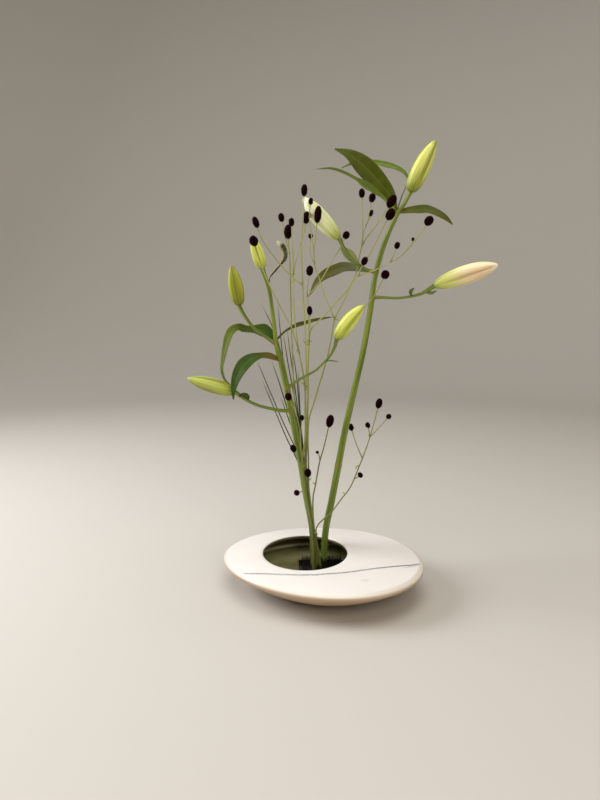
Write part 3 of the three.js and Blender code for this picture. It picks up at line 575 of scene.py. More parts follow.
@dataclass(frozen=True)
class BudSkin(Finish):
    """The thick waxy petals of a closed lily: a soft shine, with greener inner petals between pale flanks."""

    inner: str = "#8a9024"
    keel: str = "#a9af58"
    base: str = "#7f8830"
    tip: str = "#9fa43c"
    blush: str = "#d2d675"
    base_reach: float = 0.2
    low: str = "#b3bb5a"
    low_reach: float = 0.3
    low_full: float = 0.3
    blush_range: Values = (0.4, 0.6)
    fine_range: Values = (0.3, 0.7, -0.2, 0.2)
    raggedness: float = 0.6
    glow: float = 0.18
    glow_depth: float = 2.0
    glow_reaches: tuple[float, float, float] = (1.0, 0.9, 0.3)

    def paint(self, tree: bpy.types.NodeTree, shader: bpy.types.Node) -> None:
        """Paint the petals side by side, then the base and the tip."""
        along, keel, inner, blush = self.marks(tree, "along", "keel", "inner", "blush")
        broad = add(tree, Kind.RANGE, self.streaks(tree, width=3.0, length=90.0), *self.blush_range)
        fine = add(tree, Kind.RANGE, self.streaks(tree, width=1.1, length=60.0), *self.fine_range)
        line = self.streaks(tree, width=0.9, length=80.0)
        edge = add(tree, Kind.ADD, inner, fine)
        ragged = add(tree, Kind.MULTIPLY_ADD, fine, self.raggedness, along)
        low_end = self.low_reach * self.low_full
        colour = add(tree, Kind.MIX, add(tree, Kind.MULTIPLY, broad, blush), self.colour, self.blush)
        colour = self.layer(tree, colour, self.keel, keel, low=0.2, high=1.0, most=0.7)
        colour = self.layer(tree, colour, self.inner, edge, low=0.2, high=0.9, most=0.9)
        colour = self.layer(tree, colour, self.inner, line, low=0.56, high=0.66, most=0.6)
        colour = self.layer(tree, colour, self.low, ragged, low=self.low_reach, high=low_end, most=0.8)
        colour = self.layer(tree, colour, self.base, ragged, low=self.base_reach, high=0.0)
        colour = self.layer(tree, colour, self.tip, along, low=0.86, high=1.0, most=0.85)
        shader.inputs["Subsurface Weight"].default_value = self.glow
        shader.inputs["Subsurface Radius"].default_value = self.glow_reaches
        shader.inputs["Subsurface Scale"].default_value = self.glow_depth * MM
        self.wear(tree, shader, colour, self.streaks(tree, width=0.9, length=25.0), depth=0.1)


@dataclass(frozen=True)
class LeafSkin(Finish):
    """A lily leaf: satin, with parallel veins, a paler midrib and a duller grey-green underside."""

    specular: float = 0.2
    vein: str = "#7d8a32"
    under: str = "#6a7446"
    edge: str = "#7a7a34"
    root: str = "#6b6a2c"
    root_reach: float = 0.08
    blotch: str = "#5a3f1c"
    blotches: float = 0.0
    veins: float = 4.0

    def paint(self, tree: bpy.types.NodeTree, shader: bpy.types.Node) -> None:
        """Draw the veins along the blade, part its two faces and fade its root."""
        across, under, along = self.marks(tree, "across", "under", "along")
        wave = add(tree, Kind.COSINE, add(tree, Kind.MULTIPLY, across, self.veins * math.tau))
        size = add(tree, Kind.ABSOLUTE, across)
        cloud = self.spots(tree, size=9.0, detail=3.0)
        dead = self.spots(tree, size=7.0)
        colour = self.layer(tree, self.colour, self.vein, cloud, low=0.35, high=0.7, most=0.4)
        colour = self.layer(tree, colour, self.vein, wave, low=0.5, high=1.0, most=0.3)
        colour = self.layer(tree, colour, self.vein, size, low=0.12, high=0.03, most=0.8)
        colour = self.layer(tree, colour, self.edge, size, low=0.88, high=1.0, most=0.5)
        colour = self.layer(tree, colour, self.under, under, low=0.3, high=0.7, most=0.8)
        colour = self.layer(tree, colour, self.blotch, dead, low=0.6, high=0.68, most=self.blotches)
        colour = self.layer(tree, colour, self.root, along, low=self.root_reach, high=0.0)
        self.wear(tree, shader, colour, wave, depth=0.08)


@dataclass(frozen=True)
class DryLeafSkin(Finish):
    """A leaf dried on the stem: matt dark brown and wrinkled, with one pale rolled edge and a cream tip."""

    patch: str = "#4f5032"
    edge: str = "#a5976c"
    tip: str = "#e6e0c2"
    cloud_range: Values = (0.3, 0.6)
    patch_range: Values = (0.45, 0.7)

    def paint(self, tree: bpy.types.NodeTree, shader: bpy.types.Node) -> None:
        """Wrinkle the blade and bleach its left edge and its tip."""
        along, across = self.marks(tree, "along", "across")
        cloud = add(tree, Kind.RANGE, self.spots(tree, size=4.0, detail=4.0), *self.cloud_range)
        upper = add(tree, Kind.MULTIPLY, cloud, add(tree, Kind.RANGE, along, *self.patch_range))
        colour = add(tree, Kind.MIX, upper, self.colour, self.patch)
        colour = self.layer(tree, colour, self.edge, across, low=-0.25, high=-0.75)
        colour = self.layer(tree, colour, self.tip, along, low=0.86, high=0.95)
        self.wear(tree, shader, colour, self.spots(tree, size=1.2, detail=4.0), depth=0.3)


@dataclass(frozen=True)
class FloretSkin(Finish):
    """The tiny dry sepals of great burnet: matt, near black in the folds and wine red where light catches."""

    specular: float = 0.08
    catch: str = "#420c14"
    catch_range: Values = (0.3, 0.75, 0.35, 1.0)

    def paint(self, tree: bpy.types.NodeTree, shader: bpy.types.Node) -> None:
        """Lighten the lobes' rims and vary the heads."""
        (rim,) = self.marks(tree, "rim")
        cloud = add(tree, Kind.RANGE, self.spots(tree, size=7.0, detail=3.0), *self.catch_range)
        colour = add(tree, Kind.MIX, add(tree, Kind.MULTIPLY, rim, cloud), self.colour, self.catch)
        tree.links.new(colour, shader.inputs["Base Color"])


@dataclass(frozen=True)
class RushSkin(Finish):
    """Rush: firm, matt and dark green, with fine lengthwise grooves and a bleached dry tip."""

    groove: str = "#4f5a34"
    groove_range: Values = (0.35, 0.65)
    tip: str = "#8d7f55"
    foot: str = "#6c6a3a"

    def paint(self, tree: bpy.types.NodeTree, shader: bpy.types.Node) -> None:
        """Groove the blade and fade its foot and its tip."""
        (along,) = self.marks(tree, "along")
        streak = add(tree, Kind.RANGE, self.streaks(tree, width=0.8, length=60.0), *self.groove_range)
        colour = add(tree, Kind.MIX, streak, self.colour, self.groove)
        colour = self.layer(tree, colour, self.foot, along, low=0.25, high=0.0)
        colour = self.layer(tree, colour, self.tip, along, low=0.82, high=1.0)
        self.wear(tree, shader, colour, streak, depth=0.1)


WHITE_GLAZE = StonewareGlaze("satin_white_stoneware_glaze", "#ece8e3", 0.36, ior=1.5,
                             strokes=("front_line", "back_line", "right_line", "smudge"))
WATER = StillWater("clear_still_water", "#d4d6c0", 0.015, ior=1.333)
LEAD = DullMetal("dull_cast_lead", "#060608", 0.75, metallic=0.3, ior=1.5, bloom="#17171a")
BRASS = DullMetal("old_blackened_brass", "#0b0a07", 0.6, metallic=0.5, ior=1.5, bloom="#1b190f")
LILY_STEM = StemSkin("waxy_lily_stem", "#84932f", 0.34, specular=0.5)
CUT_STALK = StemSkin("cut_hollow_stalk", "#696a2e", 0.5, specular=0.35, shade="#55532a", foot="#5c5a2c",
                     scar="#b9b28a")
BURNET_STALK = StemSkin("wiry_burnet_stalk", "#b2b36a", 0.5, specular=0.3, shade="#8c8d48", foot="#5f6830",
                        scar="#7a5f36", foot_height=420.0)
BURNET_FLORET = FloretSkin("dry_burnet_floret", "#100203", 0.85)
RUSH_GREEN = RushSkin("firm_dark_rush", "#2c3419", 0.6, specular=0.25, groove="#3d4828")
DRY_LEAF = DryLeafSkin("dry_brown_leaf", "#1d180c", 0.85, specular=0.2)
BRACT = LeafSkin("lily_bract", "#5d6a2a", 0.5, vein="#7d8746")
BURNET_BRACT = LeafSkin("burnet_bract", "#9a9f3e", 0.6, vein="#aeb055", under="#a09f4a", veins=2.0)
FLOOR_PAINT = Finish("pale_studio_floor", "#c6c2ba", 0.7)


# Bowl


@dataclass(frozen=True)
class Ring:
    """One level of the bowl's outline: an oval that is wider at its right end by the egg share."""

    length: float
    z: float
    width: float
    x: float = 0.0
    y: float = 0.0
    egg: float = 0.0

    def values(self) -> list[float]:
        """List the ring's values, its length and height first."""
        return [self.length, self.z, self.width, self.x, self.y, self.egg]

    def station(self, share: float, turn: float) -> Station:
        """Give the ring as a cross-section that lies level, turned by an angle."""
        side = Vector((math.cos(turn), math.sin(turn), 0.0))
        normal = Vector((-math.sin(turn), math.cos(turn), 0.0))
        return Station(share, self.length, 0.0, Vector((self.x, self.y, self.z)), side, normal)


@dataclass(frozen=True)
class Stroke:
    """A line brushed on the bowl's top, drawn from left to right as x, y and how dark it is."""

    name: str
    half: float
    points: Sequence[Values]
    lowest: float = 46

    def offset(self, place: Vector) -> float:
        """Give how far a place lies behind the line, in half widths of it."""
        xs, ys, _ = zip(*self.points)
        return (place.y - float(np.interp(place.x, xs, ys))) / self.half

    def ink(self, place: Vector) -> float:
        """Give how dark the line is at a place's x, and nothing below the top."""
        xs, _, inks = zip(*self.points)
        return float(np.interp(place.x, xs, inks)) * float(place.z > self.lowest)


@dataclass
class Bowl:
    """A wide, flat, oval bowl of thrown and pressed stoneware, with a round mouth left of its middle.

    Its outlines are lists of a share of the rim's size and a height, and that of the lip lists how far a ring
    lies outside the mouth and below the crown.
    """

    half_length: float = 153.8
    half_width: float = 123.8
    lean: tuple[float, float] = (-2.1, 2.1)
    turn: float = math.radians(-12)
    egg: float = 0.078
    foot: float = 0.42
    mouth: tuple[float, float, float] = (-28, 6.4, 64.5)
    crown: float = 54
    sides: int = 180
    ring_step: float = 1.5
    outside: Sequence[Values] = (
        (0.42, 0), (0.435, 0.8), (0.51, 2.7), (0.6, 7.5), (0.72, 15.5), (0.82, 23.3), (0.9, 30.2),
        (0.95, 34.8), (0.985, 38.1), (1, 41), (1, 44.8),
    )
    shoulder: Values = (0.957, 48.5)
    dome: Values = (0.35, 0.7)
    lip: Sequence[Values] = ((2.5, 0), (0.4, 0.9), (0, 2.5), (1, 5.6))
    dark_below: float = 0.6
    ceiling: tuple[float, float] = (0.5, 0.4)
    inside: Sequence[Values] = (
        (0.93, 41.6), (0.935, 39.6), (0.89, 35), (0.81, 28), (0.7, 20.2), (0.59, 13), (0.5, 7), (0.3, 7),
        (0, 7),
    )
    strokes: Sequence[Stroke] = (
        Stroke("front_line", 1.9, (
            (-130, -52, 0), (-125, -54.5, 0.5), (-116, -58.5, 0.6), (-104, -61.5, 0.65), (-89, -65, 0.65),
            (-72, -69, 0.6), (-63, -70.5, 0.6), (-37, -73.5, 0.65), (-12, -73, 0.7), (-1.5, -70.8, 0.75),
            (14, -68.5, 0.75), (30, -65.3, 0.8), (51, -58, 0.8), (67, -52, 0.8), (89, -45, 0.9),
            (112, -37.5, 1), (129, -32.5, 1), (145, -25, 0.8), (149, -22.5, 0),
        )),
        Stroke("smudge", 3.0, ((48, -86, 0), (53, -86, 0.2), (58, -85, 0.15), (62, -84, 0))),
        Stroke("back_line", 1.6, ((37, 115, 0), (67, 108, 0.5), (100, 97, 0.45), (129, 80, 0))),
        Stroke("right_line", 1.4, ((112, -44, 0), (124, -39, 0.4), (136, -34, 0.35), (146, -29, 0))),
    )

    def oval(self, share: float, z: float) -> Ring:
        """Give the rim's oval at a share of its size."""
        lean = max(0.0, (share - self.foot) / (1 - self.foot))
        x, y = (way * lean for way in self.lean)
        return Ring(self.half_length * share, z, self.half_width * share, x, y, self.egg * share)

    def circle(self, out: float, z: float) -> Ring:
        """Give the mouth's circle, widened by a distance."""
        x, y, radius = self.mouth
        return Ring(radius + out, z, radius + out, x, y)

    def between(self, start: Ring, end: Ring, share: float, z: float) -> Ring:
        """Give a ring between two others, at a height of its own."""
        values = [a + (b - a) * share for a, b in zip(start.values(), end.values())]
        values[1] = z
        return Ring(*values)

    def rings(self) -> list[list[Ring]]:
        """Give the rings of each smooth part: the side, the bevel, the top with its lip, and the inside."""
        side = [self.oval(*point) for point in self.outside]
        shoulder = self.oval(*self.shoulder)
        lip = [self.circle(out, self.crown - down) for out, down in self.lip]
        rise = self.crown - shoulder.z
        dome = [
            self.between(shoulder, lip[0], share, shoulder.z + rise * math.sin(share * math.pi / 2))
            for share in self.dome
        ]
        inside = [self.oval(*point) for point in self.inside]
        out, down = self.ceiling
        ceiling = self.between(lip[-1], inside[0], out, lip[-1].z + down * (inside[0].z - lip[-1].z))
        return [side, [side[-1], shoulder], [shoulder, *dome, *lip], [lip[-1], ceiling, *inside]]

    def section(self, ring: Ring, turn: float) -> tuple[float, float]:
        """Give a point of a ring."""
        angle = math.tau * turn
        width = ring.width * (1 + ring.egg * math.cos(angle))
        return ring.length * math.cos(angle), width * math.sin(angle)

    def shape(self) -> Shape:
        """Build the bowl, with the marks of its inside and of the lines brushed on it."""
        rings = [Ring(0, 0, 0)]
        for part in self.rings():
            spline = Spline([ring.values() for ring in part], 2)
            steps = max(2, round(spline.length / self.ring_step))
            rings += [Ring(*spline.at(share)) for share in spline.evenly(steps)]
        reach = self.mouth[2] + self.lip[0][0]
        start = next(i for i, ring in enumerate(rings)
                     if ring.length <= reach and self.shoulder[1] < ring.z < self.crown - self.dark_below)
        path = [ring.station(i / len(rings), self.turn) for i, ring in enumerate(rings)]
        order = {id(station): i for i, station in enumerate(path)}

        def section(station: Station, turn: float) -> tuple[float, float]:
            """Give a point of the ring that a cross-section stands for."""
            return self.section(rings[order[id(station)]], turn)

        def reading(measure: Callable[[Vector], float]) -> Mark:
            """Turn a measure of a place into a mark."""

            def mark(station: Station, turn: float) -> float:
                """Give the measure at a point of the bowl."""
                across, out = section(station, turn)
                return measure(station.place + station.side * across + station.normal * out)

            return mark

        marks = {"within": lambda station, _: float(order[id(station)] >= start)}
        for stroke in self.strokes:
            marks[stroke.name] = reading(stroke.offset)
            marks[f"{stroke.name}_ink"] = reading(stroke.ink)
        shape = Shape(*marks)
        shape.sweep(path, self.sides, section, **marks)
        return shape

    def build(self) -> list[bpy.types.Object]:
        """Build and dress the bowl."""
        return [self.shape().piece("stoneware_bowl", WHITE_GLAZE, "glaze", "bowl", crease=60)]


@dataclass
class Water:
    """The water in the bowl, which fills it to its own level."""

    bowl: Bowl
    level: float = 26.4
    sides: int = 96

    def build(self) -> list[bpy.types.Object]:
        """Build and dress the water."""
        wall = [self.bowl.oval(*point) for point in self.bowl.inside]
        wet = [ring for ring in wall if ring.z < self.level][::-1]
        above = [ring for ring in wall if ring.z >= self.level][-1]
        share = (self.level - wet[-1].z) / (above.z - wet[-1].z)
        edge = self.bowl.between(wet[-1], above, share, self.level)
        halfway = self.bowl.between(edge, wet[0], 0.5, self.level)
        rings = [*wet, edge, halfway, Ring(0, self.level, 0)]
        path = [ring.station(i / len(rings), self.bowl.turn) for i, ring in enumerate(rings)]
        lookup = {id(station): ring for station, ring in zip(path, rings)}
        shape = Shape()
        shape.sweep(path, self.sides, lambda station, turn: self.bowl.section(lookup[id(station)], turn))
        return [shape.piece("still_water", WATER, "water", "water", crease=30)]


@dataclass
class PinHolder:
    """A heavy lead plate set with close rows of brass pins, on which the stems are pushed."""

    length: float = 73
    width: float = 55
    middle: tuple[float, float] = (-1.5, 21.5)
    bottom: float = 7.35
    top: float = PLATE_TOP
    edge: float = 1.4
    edge_steps: int = 3
    sunk: float = 1.0
    pin_top: float = 33
    pin_radius: float = 0.75
    shoulder_radius: float = 0.65
    tip_radius: float = 0.12
    point: float = 2.5
    pitch: float = 4.4
    margin: float = 3.5
    pin_sides: int = 8

    def plate(self) -> bpy.types.Object:
        """Build and dress the plate."""
        shape = Shape()
        made = bmesh.ops.create_cube(shape.mesh, size=1.0)["verts"]
        size = Vector((self.length, self.width, self.top - self.bottom)) * MM
        bmesh.ops.scale(shape.mesh, vec=size, verts=made)
        centre = Vector((*self.middle, (self.top + self.bottom) / 2)) * MM
        bmesh.ops.translate(shape.mesh, vec=centre, verts=made)
        bmesh.ops.bevel(shape.mesh, geom=list(shape.mesh.edges), offset=self.edge * MM,
                        segments=self.edge_steps, affect="EDGES", profile=0.5, material=-1)
        return shape.piece("lead_plate", LEAD, "lead", "pin_holder")

    def cone(self, shape: Shape, x: float, y: float, bottom: float, top: float, radii: Values) -> None:
        """Add an upright cone between two heights.

        Args:
            shape: The shape of all the pins.
            x: How far right its axis lies.
            y: How far back its axis lies.
            bottom: The height of its lower end.
            top: The height of its upper end.
            radii: The radii of its lower and its upper end.
        """
        middle = Matrix.Translation(Vector((x, y, (bottom + top) / 2)) * MM)
        bmesh.ops.create_cone(shape.mesh, cap_ends=True, segments=self.pin_sides, depth=(top - bottom) * MM,
                              radius1=radii[0] * MM, radius2=radii[1] * MM, matrix=middle)

    def pins(self) -> bpy.types.Object:
        """Build and dress the pins, stout shafts with a short point, each row half a pitch on."""
        shape = Shape()
        shoulder = self.pin_top - self.point
        shaft = (self.pin_radius, self.shoulder_radius)
        tip = (self.shoulder_radius, self.tip_radius)
        rows = int((self.width - 2 * self.margin) / self.pitch)
        columns = int((self.length - 2 * self.margin) / self.pitch)
        for row in range(rows + 1):
            for column in range(columns + 1 - row % 2):
                x = self.middle[0] + (column - (columns - row % 2) / 2) * self.pitch
                y = self.middle[1] + (row - rows / 2) * self.pitch
                self.cone(shape, x, y, self.top - self.sunk, shoulder, shaft)
                self.cone(shape, x, y, shoulder, self.pin_top, tip)
        return shape.piece("brass_pins", BRASS, "lead", "pin_holder")

    def build(self) -> list[bpy.types.Object]:
        """Build the plate and its pins."""
        return [self.plate(), self.pins()]


# Lilies


@dataclass
class Blade:
    """A thin leaf along its midrib, whose margins stand above the midrib by the fold."""

    name: str
    midrib: Sequence[Values]
    faces: tuple[Values, Values]
    finish: Finish
    fold: float = 0.2
    fold_softness: float = 0.015
    thickness: float = 0.55
    thinning: float = 0.55
    margin: float = 0.999
    rib: float = 0.35
    rib_width: float = 0.09
    rib_full_at: float = 4.0
    wave: float = 0.05
    waves: float = 2.0
    ripple: float = 0.0
    ripples: Sequence[Values] = ((0.9, 5), (1 / 3.1, 2))
    sides: int = 36
    step: float = 2.2
    fewest_steps: int = 6

    def section(self, station: Station, turn: float) -> tuple[float, float]:
        """Give a point of the leaf's thin section, the upper face first and the lower face after it."""
        across = self.across(turn)
        spread = math.sqrt(across * across + self.fold_softness) - math.sqrt(self.fold_softness)
        swing = across * abs(across) * math.sin(self.waves * math.tau * station.share)
        folds = math.prod(math.sin(run * station.run + slant * across) for run, slant in self.ripples)
        lift = station.size * (self.fold * spread + self.wave * swing) + self.ripple * folds
        body = self.thickness / 2 * (1 - self.thinning * abs(across)) * float(abs(across) < self.margin)
        rib = self.rib * bell(across, self.rib_width) * min(1.0, station.size / self.rib_full_at)
        return station.size * across, lift + (body if turn < 0.5 else -body - rib)

    @staticmethod
    def across(turn: float) -> float:
        """Give the share of the half width that a point lies at, from 1 to -1 and back."""
        return 1 - 4 * turn if turn <= 0.5 else 4 * turn - 3

    def add_to(self, shape: Shape) -> None:
        """Add the blade to a shape that holds the marks across, under and along."""
        path = stations(Spline(self.midrib), self.step, self.faces, least=self.fewest_steps)
        shape.sweep(
            path, self.sides, self.section,
            across=lambda _, turn: self.across(turn),
            under=lambda _, turn: 0.5 if turn in (0.0, 0.5) else float(turn > 0.5),
            along=lambda station, _: station.share,
        )

    def build(self, slot: str = "lily_leaf") -> list[bpy.types.Object]:
        """Build and dress the leaf."""
        shape = Shape("across", "under", "along")
        self.add_to(shape)
        return [shape.piece(self.name, self.finish, slot, self.name, crease=180)]


@dataclass
class Bud:
    """A closed lily: three outer petals with broad keels, and between them the keels of the inner three.

    Angles are in degrees round the bud. There is an outer keel every 120, and an inner one halfway between.
    """

    name: str
    base: Values
    middle: Values
    tip: Values
    half: float
    turn: float
    finish: Finish
    ripe: float = 1.0
    blush_at: tuple[float, float] | None = None
    blush_reach: tuple[float, float] = (38, 0.28)
    furrow_place: float = 17.0
    furrow_width: float = 7.0
    furrow_depth: float = 0.05
    petal_blur: float = 5.0
    outline: Sequence[Values] = (
        (0, 0.3), (0.01, 0.45), (0.035, 0.6), (0.08, 0.745), (0.19, 0.91), (0.38, 1), (0.6, 0.93),
        (0.8, 0.67), (0.94, 0.35), (0.985, 0.17), (1, 0.03),
    )
    keel_rise: float = 0.055
    keel_widths: tuple[float, float] = (9, 8)
    inner_share: float = 0.55
    corner_share: float = 0.6
    ends: tuple[float, float] = (0.04, 0.97)
    end_bluntness: float = 0.6
    line_points: int = 21
    sides: int = 96
    step: float = 1.0

    def petals(self, turn: float) -> tuple[float, float, float]:
        """Give how a point stands out, and the marks of the petals.

        Args:
            turn: How far round the bud the point lies, from 0 to 1.

        Returns:
            The rise as a share of the radius, 1 on an outer petal's keel, and 1 on an inner petal.
        """
        degrees = (360 * turn) % 120
        from_outer = min(degrees, 120 - degrees)
        from_inner = 60 - from_outer
        furrow = bell(from_inner - self.furrow_place, self.furrow_width)
        outer_keel = bell(from_outer, self.keel_widths[0])
        inner_keel = self.inner_share * bell(from_inner, self.keel_widths[1])
        corners = self.corner_share * math.cos(math.radians(3 * from_outer))
        rise = self.keel_rise * (outer_keel + inner_keel + corners) - self.furrow_depth * furrow
        inner = smooth(self.furrow_place + self.petal_blur, self.furrow_place - self.petal_blur, from_inner)
        return rise, outer_keel, inner

    def blush(self, station: Station, turn: float) -> float:
        """Give how much of the blush colour a point may take: all of it, or only round one place."""
        if self.blush_at is None:
            return 1.0
        around = (360 * turn + self.turn - self.blush_at[0] + 180) % 360 - 180
        return bell(around, self.blush_reach[0]) * bell(station.share - self.blush_at[1], self.blush_reach[1])

    def path(self) -> list[Station]:
        """Bow the bud through its middle, and give its cross-sections their sizes and one direction."""
        base, middle, tip = (np.array(point, float) for point in (self.base, self.middle, self.tip))
        bow = 2 * middle - (base + tip) / 2
        outline = Spline([(share, width, 0) for share, width in self.outline], 2)
        dense = np.array([outline.at(share)[:2] for share in outline.dense])
        shares = np.linspace(0, 1, self.line_points)
        line = [(1 - s) ** 2 * base + 2 * s * (1 - s) * bow + s * s * tip for s in shares]
        path = stations(Spline([(*point, 0.0) for point in line]), self.step)
        side = Vector(tip - base).normalized().cross(Vector((0, 1, 0))).normalized()
        ahead = [(path[min(i + 1, len(path) - 1)].place - path[max(i - 1, 0)].place).normalized()
                 for i in range(len(path))]
        for station, tangent in zip(path, ahead):
            station.size = self.half * float(np.interp(station.share**self.ripe, dense[:, 0], dense[:, 1]))
            station.side = (side - tangent * side.dot(tangent)).normalized()
            station.normal = tangent.cross(station.side)
        return path

    def section(self, station: Station, turn: float) -> tuple[float, float]:
        """Give a point of the bud, whose petals flatten out towards its two ends."""
        swell = math.sin(math.pi * min(max(station.share, self.ends[0]), self.ends[1])) ** self.end_bluntness
        radius = station.size * (1 + swell * self.petals(turn)[0])
        return on_circle(radius, math.tau * turn + math.radians(self.turn))

    def build(self) -> list[bpy.types.Object]:
        """Build and dress the bud."""
        path = self.path()
        shape = Shape("along", "keel", "inner", "blush", *GRAIN)
        shape.sweep(
            path, self.sides, self.section,
            along=lambda station, _: station.share,
            keel=lambda _, turn: self.petals(turn)[1],
            inner=lambda _, turn: self.petals(turn)[2],
            blush=self.blush,
            **grain(path),
        )
        return [shape.piece(self.name, self.finish, "lily_bud", self.name, crease=180)]


@dataclass
class Scar:
    """The mark that a stripped leaf leaves on a stem, at a height and a direction round it."""

    z: float
    turn: float


@dataclass
class Lily:
    """A cut lily stem with its side stalks, bracts, leaves and buds.

    The heights of its joints and scars count from the bowl's foot. Reaches are millimetres, or shares of a
    turn round the stem where they are named so.
    """

    side: str
    stem: Sequence[Values]
    pedicels: Sequence[Sequence[Values]]
    nodes: Sequence[float]
    scars: Sequence[Scar]
    bracts: Sequence[Blade]
    leaves: Sequence[Blade]
    buds: Sequence[Bud]
    foot_clearance: float = 0.5
    sides: int = 24
    pedicel_sides: int = 16
    step: float = 2.0
    joint_reach: float = 5.0
    joint_swelling: float = 0.07
    joint_mark: float = 0.3
    scar_reach: float = 1.6
    scar_turn_share: float = 0.11
    scar_bow: float = 0.8
    scar_rise: float = 0.45
    collar_reach: float = 4.0
    collar_mark: float = 0.55
    ribs: int = 5
    rib_rise: float = 0.02
    rib_twist: float = 0.004

    def cut_level(self, path: list[Station]) -> list[Station]:
        """Drop the part of a stem below its foot, and lay its first cross-section level there."""
        kept = [station for station in path if station.place.z > FOOT + self.foot_clearance]
        return [level_below(kept[0], FOOT), *kept]

    def scar_at(self, station: Station, turn: float) -> float:
        """Give how strongly a point of the stem is scarred, from 0 to 1."""
        strength = 0.0
        for scar in self.scars:
            along = (station.place.z - scar.z) / self.scar_reach
            around = abs((turn - scar.turn + 0.5) % 1 - 0.5) / self.scar_turn_share
            crescent = along + self.scar_bow * around * around
            strength = max(strength, bell(crescent, 1.0) * bell(around, 1.0))
        return strength

    def joint_at(self, station: Station) -> float:
        """Give how near a cross-section lies to a joint of the stem, from 0 to 1."""
        return max(bell(station.place.z - z, self.joint_reach) for z in self.nodes)

    def stem_scar(self, station: Station, turn: float) -> float:
        """Give the stem's scar mark: its scars, and a faint ring at each joint."""
        return max(self.scar_at(station, turn), self.joint_mark * self.joint_at(station))

    def collar(self, station: Station, _: float) -> float:
        """Give a pedicel's scar mark: a brownish collar where it leaves the stem."""
        return self.collar_mark * bell(station.run - self.collar_reach, self.collar_reach)

    def section(self, station: Station, turn: float) -> tuple[float, float]:
        """Give a point of the stem, with its joints, its scars and low ribs that wind slowly round it."""
        angle = math.tau * turn
        ribs = self.rib_rise * math.cos(self.ribs * angle + self.rib_twist * station.run)
        radius = station.size * (1 + self.joint_swelling * self.joint_at(station) + ribs)
        return on_circle(radius + self.scar_rise * self.scar_at(station, turn), angle)

    def build(self) -> list[bpy.types.Object]:
        """Build and dress the stem, then its bracts, leaves and buds."""
        node = f"{self.side}_lily_stem"
        shape = Shape("scar", *GRAIN)
        stem = self.cut_level(stations(Spline(self.stem), self.step))
        shape.sweep(stem, self.sides, self.section, scar=self.stem_scar, **grain(stem))
        for pedicel in self.pedicels:
            path = stations(Spline(pedicel), self.step)
            shape.sweep(path, self.pedicel_sides, round_section, scar=self.collar, **grain(path))
        pieces = [shape.piece(node, LILY_STEM, "lily_stem", node)]
        bracts = Shape("across", "under", "along")
        for bract in self.bracts:
            bract.add_to(bracts)
        pieces.append(bracts.piece(f"{self.side}_lily_bracts", BRACT, "lily_leaf", node, crease=180))
        for part in (*self.leaves, *self.buds):
            pieces += part.build()
        return pieces


# Great burnet


@dataclass
class Branch:
    """One stalk of a spray, its two radii, and the half width and half length of the head on its end."""

    way: Sequence[Values]
    radii: tuple[float, float]
    head: tuple[float, float] | None = None


